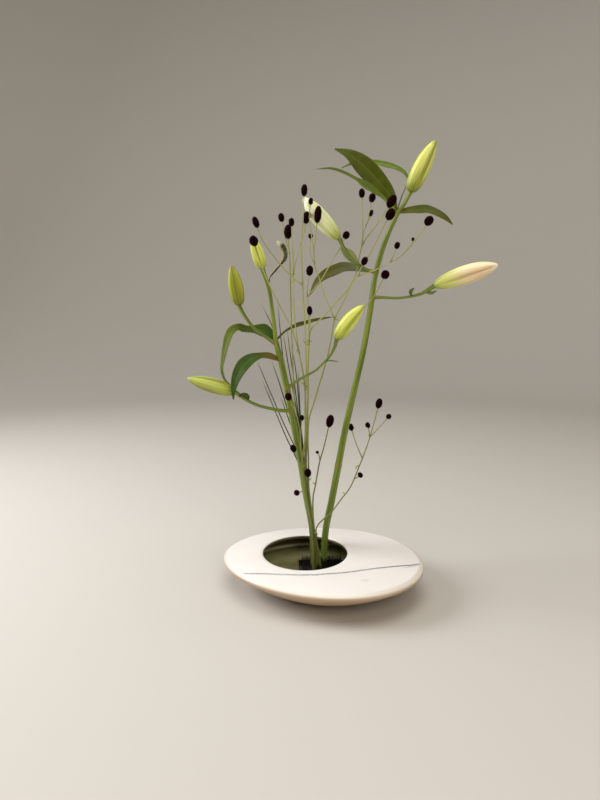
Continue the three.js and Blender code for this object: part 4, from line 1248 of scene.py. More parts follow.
@dataclass
class Burnet:
    """A spray of great burnet: wiry forked stalks that carry dense oval heads of four-lobed florets.

    Its bracts are given as a place and how far they reach to the right. A floret's measures are shares of its
    size.
    """

    name: str
    branches: Sequence[Branch]
    bracts: Sequence[Values] = ()
    stalk_sides: int = 10
    step: float = 4.0
    fork_swelling: float = 0.35
    fork_reach: float = 6.0
    fork_mark: float = 0.4
    fork_mark_reach: float = 5.0
    ridges: int = 4
    ridge_rise: float = 0.05
    inset: float = 0.5
    small_head: float = 5.0
    core_gap: float = 0.2
    core_rounds: tuple[int, int] = (12, 8)
    spacing: float = 1.95
    packing: float = 1.6
    fewest_florets: int = 14
    jitter: float = 0.1
    droop: float = 0.02
    floret: float = 1.25
    floret_sizes: tuple[float, float] = (0.8, 1.12)
    pole_size: float = 0.75
    full_floret_at: float = 3.6
    floret_points: int = 8
    floret_depth: float = 0.9
    floret_base: float = 0.35
    lobes: int = 4
    lobe_valley: float = 0.62
    lobe_shade: float = 0.3
    eye_depth: float = 0.35
    bract_line: Sequence[Values] = ((0, 0, 0, 0.8), (0.4, 1, 0.5, 1.9), (0.85, 1.5, 0.95, 0.2))
    bract_faces: tuple[Values, Values] = ((-0.3, -0.4, 1), (0.2, -0.4, 1))

    def stalk_section(self, station: Station, turn: float) -> tuple[float, float]:
        """Give a point of a ridged stalk, with a small swelling where it leaves its carrier."""
        angle = math.tau * turn
        swelling = 1 + self.fork_swelling * bell(station.run, self.fork_reach)
        ridge = 1 + self.ridge_rise * math.cos(self.ridges * angle)
        return on_circle(station.size * swelling * ridge, angle)

    def stalk(self, shape: Shape, branch: Branch) -> None:
        """Add a stalk, cut level at the foot if it comes from below it."""
        radii = np.linspace(*branch.radii, len(branch.way))
        path = stations(Spline([(*point, radius) for point, radius in zip(branch.way, radii)]), self.step)
        path = [station for station in path if station.place.z > FOOT]
        if branch.way[0][2] < FOOT:
            path[0] = level_below(path[0], FOOT)
        shape.sweep(
            path, self.stalk_sides, self.stalk_section,
            scar=lambda station, _: self.fork_mark * bell(station.run, self.fork_mark_reach),
            **grain(path),
        )

    def head(self, shape: Shape, branch: Branch, draw: random.Random) -> None:
        """Add a head: a dark core that is covered by florets on a spiral.

        Args:
            shape: The shape of all the spray's heads.
            branch: The stalk that carries the head on its end.
            draw: The seeded source of the florets' small differences.
        """
        half_width, half_length = branch.head
        inset = self.inset * min(1.0, half_width / self.small_head)
        before, centre = (Vector(point) for point in branch.way[-2:])
        upright = (centre - before).normalized().to_track_quat("Z", "Y").to_matrix().to_4x4()
        place = Matrix.Translation(centre * MM) @ upright
        wide, long = half_width - inset, half_length - inset
        core_width, core_length = wide - self.core_gap, long - self.core_gap
        core = Matrix.Diagonal((core_width, core_width, core_length, 1))
        around_core, along_core = self.core_rounds
        bmesh.ops.create_uvsphere(shape.mesh, u_segments=around_core, v_segments=along_core, radius=MM,
                                  matrix=place @ core)
        skin = 2 * math.pi * half_width * (half_width + half_length)
        count = max(self.fewest_florets, round(skin / self.spacing**2 / self.packing))
        for i in range(count):
            level = 1 - (2 * i + 1) / count
            around = i * math.pi * (3 - math.sqrt(5)) + draw.uniform(-self.jitter, self.jitter)
            ring = math.sqrt(1 - level * level)
            out = Vector((*on_circle(ring, around), level))
            spot = Vector((out.x * wide, out.y * wide, out.z * long))
            facing = Vector((out.x / half_width, out.y / half_width, out.z / half_length + self.droop))
            turn = facing.normalized().to_track_quat("Z", "Y").to_matrix().to_4x4()
            spin = Matrix.Rotation(draw.uniform(0, math.tau), 4, "Z")
            size = self.floret * draw.uniform(*self.floret_sizes) * min(1.0, half_width / self.full_floret_at)
            size *= self.pole_size + (1 - self.pole_size) * ring
            self.floret_at(shape, place @ Matrix.Translation(spot * MM) @ turn @ spin, size * MM)

    def floret_at(self, shape: Shape, place: Matrix, size: float) -> None:
        """Add one floret of a size in metres: a cup with four rounded lobes round a sunken middle."""
        made = bmesh.ops.create_cone(
            shape.mesh, cap_ends=True, segments=self.floret_points, depth=self.floret_depth * size,
            radius1=self.floret_base * size, radius2=size, matrix=place,
        )["verts"]
        rim = shape.marks["rim"]
        back = place.inverted()
        axis = place.to_3x3() @ Vector((0, 0, 1))
        upper = [vert for vert in made if (back @ vert.co).z > 0]
        for vert in upper:
            local = back @ vert.co
            lobe = (1 + math.cos(self.lobes * math.atan2(local.y, local.x))) / 2
            reach = self.lobe_valley + (1 - self.lobe_valley) * lobe
            vert.co = place @ Vector((local.x * reach, local.y * reach, local.z))
            vert[rim] = self.lobe_shade + (1 - self.lobe_shade) * lobe
        tops = [face for face in upper[0].link_faces if all(vert in upper for vert in face.verts)]
        for vert in bmesh.ops.poke(shape.mesh, faces=tops)["verts"]:
            vert.co -= axis.normalized() * self.eye_depth * size
            vert[rim] = 0.0

    def bract_at(self, shape: Shape, x: float, y: float, z: float, reach: float) -> None:
        """Add a small bract at a fork.

        Args:
            shape: The shape of all the spray's bracts.
            x: How far right it starts.
            y: How far back it starts.
            z: How high it starts.
            reach: How far it reaches to the right, or to the left below 0.
        """
        midrib = [(x + reach * out, y - fore, z + abs(reach) * up, half)
                  for out, fore, up, half in self.bract_line]
        Blade("bract", midrib, self.bract_faces, BURNET_BRACT, sides=12, step=1.0).add_to(shape)

    def build(self) -> list[bpy.types.Object]:
        """Build and dress the stalks, the heads and the bracts at the forks."""
        draw = random.Random(self.name)
        stalks, heads = Shape("scar", *GRAIN), Shape("rim")
        for branch in self.branches:
            self.stalk(stalks, branch)
            if branch.head:
                self.head(heads, branch, draw)
        pieces = [
            stalks.piece(f"{self.name}_stalks", BURNET_STALK, "burnet", self.name),
            heads.piece(f"{self.name}_heads", BURNET_FLORET, "burnet", self.name, crease=75),
        ]
        if self.bracts:
            bracts = Shape("across", "under", "along")
            for bract in self.bracts:
                self.bract_at(bracts, *bract)
            pieces.append(bracts.piece(f"{self.name}_bracts", BURNET_BRACT, "burnet", self.name, crease=180))
        return pieces


@dataclass
class Rush:
    """A tuft of rush: thin round blades that part from one short sheath."""

    sheath: Sequence[Values]
    blades: Sequence[Sequence[Values]]
    radii: tuple[float, float] = (1.1, 0.6)
    taper_from: float = 0.93
    tip_share: float = 0.2
    sheath_sides: int = 12
    sides: int = 8
    step: float = 6.0

    def section(self, station: Station, turn: float) -> tuple[float, float]:
        """Give a point of a blade, which tapers at its tip."""
        taper = (1 - self.tip_share) * smooth(self.taper_from, 1.0, station.share)
        return on_circle(station.size * (1 - taper), math.tau * turn)

    def build(self) -> list[bpy.types.Object]:
        """Build and dress the tuft."""
        shape = Shape("along", *GRAIN)
        sheath = [station for station in stations(Spline(self.sheath), self.step) if station.place.z > FOOT]
        sheath[0] = level_below(sheath[0], FOOT)
        shape.sweep(sheath, self.sheath_sides, round_section, along=lambda *_: 0.0, **grain(sheath))
        for way in self.blades:
            radii = np.linspace(*self.radii, len(way))
            path = stations(Spline([(*point, radius) for point, radius in zip(way, radii)]), self.step)
            shape.sweep(path, self.sides, self.section, along=lambda station, _: station.share, **grain(path))
        return [shape.piece("rush", RUSH_GREEN, "rush", "rush")]


@dataclass
class CutStalk:
    """A short stalk cut straight across, with a dark hollow in its top."""

    way: Sequence[Values]
    step: float = 3.0
    wall: float = 0.45
    hollow: float = 9.0
    ribs: int = 7
    rib_rise: float = 0.035
    sides: int = 24

    def section(self, station: Station, turn: float) -> tuple[float, float]:
        """Give a point of the ribbed stalk."""
        angle = math.tau * turn
        return on_circle(station.size * (1 + self.rib_rise * math.cos(self.ribs * angle)), angle)

    def build(self) -> list[bpy.types.Object]:
        """Build and dress the stalk, out of its top and down into the hollow."""
        path = [station for station in stations(Spline(self.way), self.step) if station.place.z > FOOT]
        path[0] = level_below(path[0], FOOT)
        top = path[-1]
        rim = Station(1, 1, top.size * (1 - self.wall / 2), top.place.copy(), top.side, top.normal)
        below = top.place - Vector((0, 0, self.hollow))
        floor = Station(1, 2, top.size * (1 - self.wall), below, top.side, top.normal)
        end = Station(1, 3, 0.0, below, top.side, top.normal)
        path += [rim, floor, end]
        shape = Shape("scar", *GRAIN)
        marks = {"scar": lambda station, _: float(station is rim), **grain(path)}
        shape.sweep(path, self.sides, self.section, **marks)
        return [shape.piece("cut_stalk", CUT_STALK, "lily_stem", "cut_stalk")]


# Studio


@dataclass(frozen=True)
class Lamp:
    """A square soft light, with its place, side and aim in metres and its power in watts."""

    name: str
    place: Values
    side: float
    power: float
    colour: str
    aim: Values

    def hang(self) -> None:
        """Hang the light and turn it to its aim."""
        data = bpy.data.lights.new(self.name, "AREA")
        data.size, data.energy, data.color = self.side, self.power, linear(self.colour)[:3]
        lamp = bpy.data.objects.new(self.name, data)
        lamp.location = self.place
        lamp.rotation_euler = (Vector(self.aim) - Vector(self.place)).to_track_quat("-Z", "Y").to_euler()
        bpy.context.collection.objects.link(lamp)


@dataclass
class Studio:
    """A pale floor that curves up all round, soft lights and the camera, in metres and degrees."""

    floor_rings: tuple[float, float, float] = (0.0, 0.3, 1.9)
    bend: float = 1.1
    bend_steps: int = 12
    wall: float = 3.2
    floor_steps: int = 64
    floor_weld: float = 1e-5
    eye: tuple[float, float, float] = (-0.036, -0.874, 0.436)
    pitch: float = 9.3
    focal_pixels: float = 601
    frame_height: int = 800
    sensor: float = 36
    air: str = "#f1efea"
    air_strength: float = 0.25
    lamps: Sequence[Lamp] = (
        Lamp("overhead", (0.0, -0.3, 2.4), 1.8, 31, "#fffaf4", (0, 0, 0.2)),
        Lamp("window", (-1.6, 0.1, 1.1), 0.9, 32, "#f8f9ff", (0, 0, 0.35)),
        Lamp("fill", (0.6, -1.9, 1.5), 1.0, 15, "#fff8ee", (0, 0, 0.2)),
    )

    def floor(self) -> None:
        """Build the floor."""
        shape = Shape()
        edge = self.floor_rings[-1]
        rings = [(radius, 0.0) for radius in self.floor_rings]
        for i in range(1, self.bend_steps + 1):
            angle = math.pi / 2 * i / self.bend_steps
            rings.append((edge + self.bend * math.sin(angle), self.bend * (1 - math.cos(angle))))
        rings.append((edge + self.bend, self.wall))
        verts = [shape.mesh.verts.new((radius, 0.0, z)) for radius, z in rings]
        edges = [shape.mesh.edges.new(pair) for pair in zip(verts, verts[1:])]
        bmesh.ops.spin(shape.mesh, geom=verts + edges, cent=(0, 0, 0), axis=(0, 0, 1), angle=math.tau,
                       steps=self.floor_steps, use_merge=True, use_duplicate=False)
        bmesh.ops.remove_doubles(shape.mesh, verts=shape.mesh.verts, dist=self.floor_weld)
        for face in shape.mesh.faces:
            face.smooth = True
        data = bpy.data.meshes.new("floor")
        shape.mesh.to_mesh(data)
        shape.mesh.free()
        data.materials.append(FLOOR_PAINT.material())
        floor = bpy.data.objects.new("floor", data)
        bpy.context.collection.objects.link(floor)

    def camera(self) -> None:
        """Set the camera where the photograph was taken from."""
        data = bpy.data.cameras.new("camera")
        data.sensor_width = self.sensor
        data.lens = self.focal_pixels / self.frame_height * self.sensor
        camera = bpy.data.objects.new("camera", data)
        camera.location = self.eye
        camera.rotation_euler = (math.radians(90 - self.pitch), 0.0, 0.0)
        bpy.context.collection.objects.link(camera)
        bpy.context.scene.camera = camera

    def build(self) -> None:
        """Build the floor, the lights, the camera and the air that lights the shadows."""
        self.floor()
        self.camera()
        for lamp in self.lamps:
            lamp.hang()
        world = bpy.data.worlds.new("studio")
        world.use_nodes = True
        back = world.node_tree.nodes["Background"]
        back.inputs["Color"].default_value = linear(self.air)
        back.inputs["Strength"].default_value = self.air_strength
        bpy.context.scene.world = world
        bpy.context.scene.view_settings.view_transform = "Standard"


# The arrangement

RIGHT_LILY = Lily(
    side="right",
    stem=[
        (2, 40, 13.3, 5.0), (5, 35, 78, 5.2), (14, 33, 128, 5.3), (23, 31, 181, 5.2), (33, 28, 240, 4.9),
        (46, 24, 304, 4.6), (58, 21, 362, 4.4), (67, 18, 421, 4.1), (74, 15, 477, 3.8), (88, 13, 526, 3.5),
        (103, 11, 561, 3.3),
    ],
    pedicels=[
        [(103, 11, 561, 3.0), (110, 9, 570, 2.6), (115, 7, 579, 2.5), (119, 5, 588, 3.4)],
        [(74, 15, 478, 3.0), (61, 14, 481, 2.6), (49, 13, 488, 2.5), (37, 13, 498, 2.4), (29, 13, 509, 2.4),
         (23, 13, 519, 2.8), (21, 13, 525, 3.4)],
        [(73, 16, 442, 3.2), (83, 14, 442, 2.3), (103, 8, 441, 2), (122, 3, 443, 2), (137, -2, 447, 2.2),
         (147, -6, 453, 2.9), (154, -8, 458, 3.4)],
    ],
    nodes=[186, 442, 480],
    scars=[Scar(186, 0.55), Scar(236, 0.1), Scar(300, 0.7), Scar(362, 0.35), Scar(420, 0.6), Scar(509, 0.75),
           Scar(553, 0.7)],
    bracts=[
        Blade("bract", [(124, 3, 445, 1.6), (122, -2, 450, 3), (126, -6, 455, 0.8)],
              ((0.2, -1, 0.2), (0.2, -1, 0.4)), BRACT, sides=16, step=1.0),
        Blade("bract", [(142, -4, 450, 1.6), (150, -9, 448, 2.4), (157, -12, 451, 0.6)],
              ((0, -1, 0), (0, -1, 0.5)), BRACT, sides=16, step=1.0),
    ],
    leaves=[
        Blade(
            "right_leaf_tall",
            [(103, 13, 565, 2.2), (109, 14, 584, 1.8), (114.5, 15, 596.5, 1.7), (117.5, 17, 607, 1.8),
             (113.5, 21, 616, 2.3), (104, 26, 623.5, 3.4), (91.5, 31, 628.5, 4.5), (79, 36, 632.5, 4.4),
             (60.5, 40, 635.5, 3.9), (43.5, 43, 634.5, 3), (25, 44, 628, 1)],
            ((-1, -0.3, 0.3), (-0.1, -1, 0.6)),
            LeafSkin("pale_green_leaf", "#566a18", 0.5, vein="#7c9034", under="#667828"), fold=0.3,
        ),
        Blade(
            "right_leaf_broad",
            [(101, 13, 556, 3.5), (94, 19, 582, 9), (75, 22, 606, 13), (55, 24, 626, 13.5), (35, 24, 641, 9),
             (13, 22, 649, 1.2)],
            ((-0.7, -0.6, 0), (-0.2, -1, 0.6)),
            LeafSkin("olive_green_leaf", "#474f04", 0.5, vein="#616a10", under="#4d5612", veins=6.0),
                     fold=0.18,
        ),
        Blade(
            "right_leaf_long",
            [(100, 10, 555, 3), (86, 10, 575, 6.5), (66, 3, 588, 9), (45, -8, 599, 10), (25, -13, 608.5, 9.5),
             (5, -17, 614, 6), (-14, -20, 613, 1)],
            ((-0.5, -0.2, 1), (-0.2, -0.15, 1)),
            LeafSkin("grey_green_leaf", "#687c22", 0.5, vein="#97a84a", under="#6c7e2c", edge="#9aa856"),
                     fold=0.25,
        ),
        Blade(
            "right_leaf_fore",
            [(103, 10, 560.5, 3), (114, 4, 562, 6.5), (127, -2, 562.5, 7.4), (140.5, -6, 562, 8.1),
             (152.5, -10, 557.5, 7.3), (165, -13, 550, 4.9), (174.5, -16, 541, 1.1)],
            ((0.1, -0.8, 0.6), (0.4, -0.9, 0.5)),
            LeafSkin("dull_olive_leaf", "#444a0a", 0.5, vein="#5c641a", under="#454b12"), fold=0.2,
        ),
        Blade(
            "right_leaf_arched",
            [(73, 16, 477, 2.6), (58, 29, 481.5, 5), (44, 38, 485, 7.6), (28.5, 43, 486, 9.9),
             (14.5, 45, 481, 9.9), (1.5, 46, 475, 8.8), (-10, 48, 465, 6.2), (-21, 49, 446, 1.2)],
            ((0.1, -0.9, 0.8), (-0.5, -0.9, 0.5)),
            # The root end's grey-green is partly a painted sheen: the leaf is greener towards the root and
            # browner towards the tip, and its grey tint stands for the soft highlight on the upper face.
            LeafSkin("brown_olive_leaf", "#49440d", 0.45, vein="#5a541b", under="#4c4716", root="#5a6540",
                     root_reach=0.85, blotches=0.6), fold=0.2,
        ),
        Blade(
            "right_leaf_small",
            [(49.5, 13.5, 487.5, 1.8), (44, 18, 493.5, 4.8), (38.5, 21, 500, 6.9), (33, 24, 505.5, 6.4),
             (27.5, 26, 511.5, 3.8), (23.5, 28, 518.5, 0.9)],
            ((-0.4, -1, 0.3), (-0.3, -1, 0.4)),
            LeafSkin("small_brown_olive_leaf", "#86864c", 0.5, vein="#9a9960", under="#8a8852",
                     blotch="#7d6a3a", blotches=0.7), fold=0.2,
        ),
    ],
    buds=[
        Bud("right_bud_top", (119, 5, 588), (133, 1, 621.5), (150, -5, 654), 12, 56,
            BudSkin("green_yellow_bud", "#dde172", 0.45, inner="#8f9526", keel="#dfe17c", base="#788224",
                    tip="#8f9628", blush="#e4e78c", base_reach=0.15, low="#a6ae3c", low_reach=0.45)),
        Bud("right_bud_left", (20, 13, 525), (-7, 15, 553), (-31, 16, 582), 12.1, 70,
            BudSkin("cream_green_bud", "#efefc2", 0.45, inner="#e2e3ac", keel="#f2f2c8", base="#8f9a40",
                    tip="#fbf7ea", blush="#fffcf2", base_reach=0.14, low="#c3cd6c", low_reach=0.42),
            ripe=1.3, blush_at=(60, 0.8)),
        Bud("right_bud_out", (154, -8, 458), (195, -19, 473), (236, -30, 485.5), 13, 25,
            BudSkin("cream_peach_bud", "#fae8c4", 0.45, inner="#cfb384", keel="#e2e47c", base="#8a963a",
                    tip="#f9f2d2", blush="#e9ab82", base_reach=0.14, low="#bfcc50", low_reach=0.58),
            ripe=1.3, blush_at=(135, 0.65)),
    ],
)

LEFT_LILY = Lily(
    side="left",
    stem=[
        (-9, 26, 13.3, 4.6), (-13.5, 25, 65, 4.6), (-20, 23, 102, 4.6), (-27, 21, 140, 4.6),
        (-36, 16, 200, 4.9), (-45, 11, 252, 5.1), (-54, 4, 302, 4.9), (-63, -3, 348, 4.7),
        (-71, -7, 379, 4.0),
    ],
    pedicels=[
        [(-71, -7, 377, 3.4), (-73, -8, 403, 2.8), (-76, -9, 427, 2.7), (-79, -10, 449, 2.7),
         (-84, -11, 467, 2.8), (-89, -13, 482, 3.4)],
        [(-70, -7, 375, 3.2), (-82, -10, 384, 2.4), (-93, -13, 392, 2.3), (-104, -16, 402, 2.2),
         (-112, -18, 413, 2.3), (-118, -19, 423, 2.7), (-122, -20, 431, 3.3)],
        [(-56, 2, 309, 3), (-40, -4, 322, 2), (-27, -9, 330, 1.9), (-14, -13, 338, 1.8), (-3, -17, 349, 1.8),
         (5, -20, 358, 1.9), (12, -22, 370, 2.3), (16, -23, 384, 3.3)],
        [(-50, 7, 276, 3.2), (-65, -3, 278, 2.5), (-80, -9, 282, 2.3), (-96, -14, 287, 2.2),
         (-110, -18, 294, 2.3), (-121, -21, 302, 2.7), (-130, -23, 309, 3.4)],
    ],
    nodes=[249, 276, 309, 352],
    scars=[Scar(188, 0.7), Scar(128, 0.2), Scar(225, 0.45), Scar(268, 0.9), Scar(330, 0.1)],
    bracts=[
        Blade("bract", [(-1, -18, 351, 1.6), (8, -24, 353, 2.6), (18, -29, 352, 0.6)],
              ((0, -0.4, 1), (0, -0.4, 1)),
              BRACT, sides=16, step=1.0),
    ],
    leaves=[
        Blade(
            "left_leaf_long",
            [(-73, -6, 380, 3.2), (-81, -1, 390.5, 7.5), (-89, 2, 394.5, 10), (-98, 4, 396, 7.5),
             (-107, 4, 396, 5.5), (-115, 2, 397, 5.5), (-124, -2, 399, 6.5), (-131, -8, 397, 7.3),
             (-137, -14, 388.5, 6.6), (-141, -21, 373.5, 5.3), (-144, -28, 357, 3.8),
             (-145.5, -34, 340.5, 2.5), (-141, -39, 328, 1.7), (-134.5, -43, 322.5, 0.8)],
            ((-0.2, -1, 0.6), (-0.6, -1, 0.2)),
            LeafSkin("long_olive_leaf", "#4e5a06", 0.5, vein="#636e14", under="#525c10", root="#2f4a10",
                     root_reach=0.5), fold=0.2,
        ),
        Blade(
            "left_leaf_dark",
            [(-67, -5, 353, 3.5), (-79, -12, 358.5, 6), (-91, -19, 360, 5.4), (-102, -26, 357.5, 8.6),
             (-113, -31, 350, 10.6), (-121, -36, 339, 9.2), (-126.5, -39, 325.5, 6.7), (-129, -41, 312, 3.6),
             (-129.5, -42, 300.5, 0.9)],
            ((-0.1, -0.8, 0.8), (-0.5, -1, 0.2)),
            LeafSkin("deep_green_leaf", "#2f4506", 0.48, vein="#456018", under="#405316", root="#6e5f2a",
                     root_reach=0.42), fold=0.18,
        ),
        Blade(
            "left_leaf_narrow",
            [(-71, -7, 380, 1.8), (-58.5, 0, 392.5, 1.8), (-48.5, 8, 398, 2.8), (-38, 15, 402, 4.6),
             (-27, 21, 405, 4.4), (-13, 26, 408.5, 3.7), (10.5, 32, 413, 1.1)],
            ((0, -0.8, 0.8), (0.1, -0.6, 1)),
            LeafSkin("narrow_olive_leaf", "#40430a", 0.5, vein="#525418", under="#45481a"), fold=0.3,
        ),
        Blade(
            "left_leaf_bract",
            [(-112, -19, 296, 1.5), (-110.5, -22, 300.5, 2.6), (-113.5, -25, 304, 3.2),
             (-118.5, -26, 304.5, 2.6), (-123.5, -26.5, 302.5, 0.8)],
            ((0, -1, 0.2), (-0.1, -1, 0.4)),
            LeafSkin("curled_green_bract", "#3f4c16", 0.5, vein="#556228", under="#4f5b28"), fold=0.25,
        ),
    ],
    buds=[
        Bud("left_bud_top", (-88.5, -13, 482), (-94.5, -20, 501.5), (-101, -28, 523), 8.8, 35,
            BudSkin("bright_green_bud", "#e0e75e", 0.45, inner="#6c7020", keel="#dbe276", base="#98a23a",
                    tip="#c0c464", blush="#dbe376", base_reach=0.12, low="#b5bf48", low_reach=0.4),
            furrow_place=2.0, furrow_width=4.0),
        Bud("left_bud_up", (-121.5, -20, 431), (-124.8, -26, 458), (-130, -32, 485), 10, 20,
            BudSkin("olive_yellow_bud", "#959a1a", 0.5, inner="#7f8410", keel="#b4b440", base="#6f6b18",
                    tip="#7f7f22", blush="#a9ab34", base_reach=0.2, low="#858a16", low_reach=0.5)),
        Bud("left_bud_inner", (16, -23, 384), (33, -28, 410), (53, -33, 431), 10.3, 55,
            BudSkin("lemon_green_bud", "#e6ec70", 0.45, inner="#a5ad38", keel="#e4ea80", base="#7a8526",
                    tip="#a9b04a", blush="#e4ec78", base_reach=0.14, low="#b9c348", low_reach=0.45)),
        Bud("left_bud_low", (-130, -23, 309), (-161, -31, 319), (-194, -38, 330), 11, 95,
            BudSkin("lemon_brown_bud", "#bdc656", 0.45, inner="#858a3a", keel="#c9d168", base="#6f7a22",
                    tip="#a3a878", blush="#98925a", base_reach=0.16, low="#a9b344", low_reach=0.4),
            blush_at=(45, 0.55)),
    ],
)

WITHERED_LEAF = Blade(
    "withered_leaf",
    [(-80, -9, 461, 1.5), (-78.5, -8, 469, 2), (-71, -6, 478.5, 2.6), (-63.5, -3, 487, 3.2),
     (-57.5, 0, 495.5, 4.4), (-56.5, 2, 504, 5.2), (-60, 3, 513, 4.7), (-68.5, 2, 520.5, 1.6)],
    ((-0.8, -0.5, 0.6), (-0.5, -1, -0.2)), DRY_LEAF, fold=0.4, wave=0.15, waves=3, ripple=0.35, step=1.0,
)

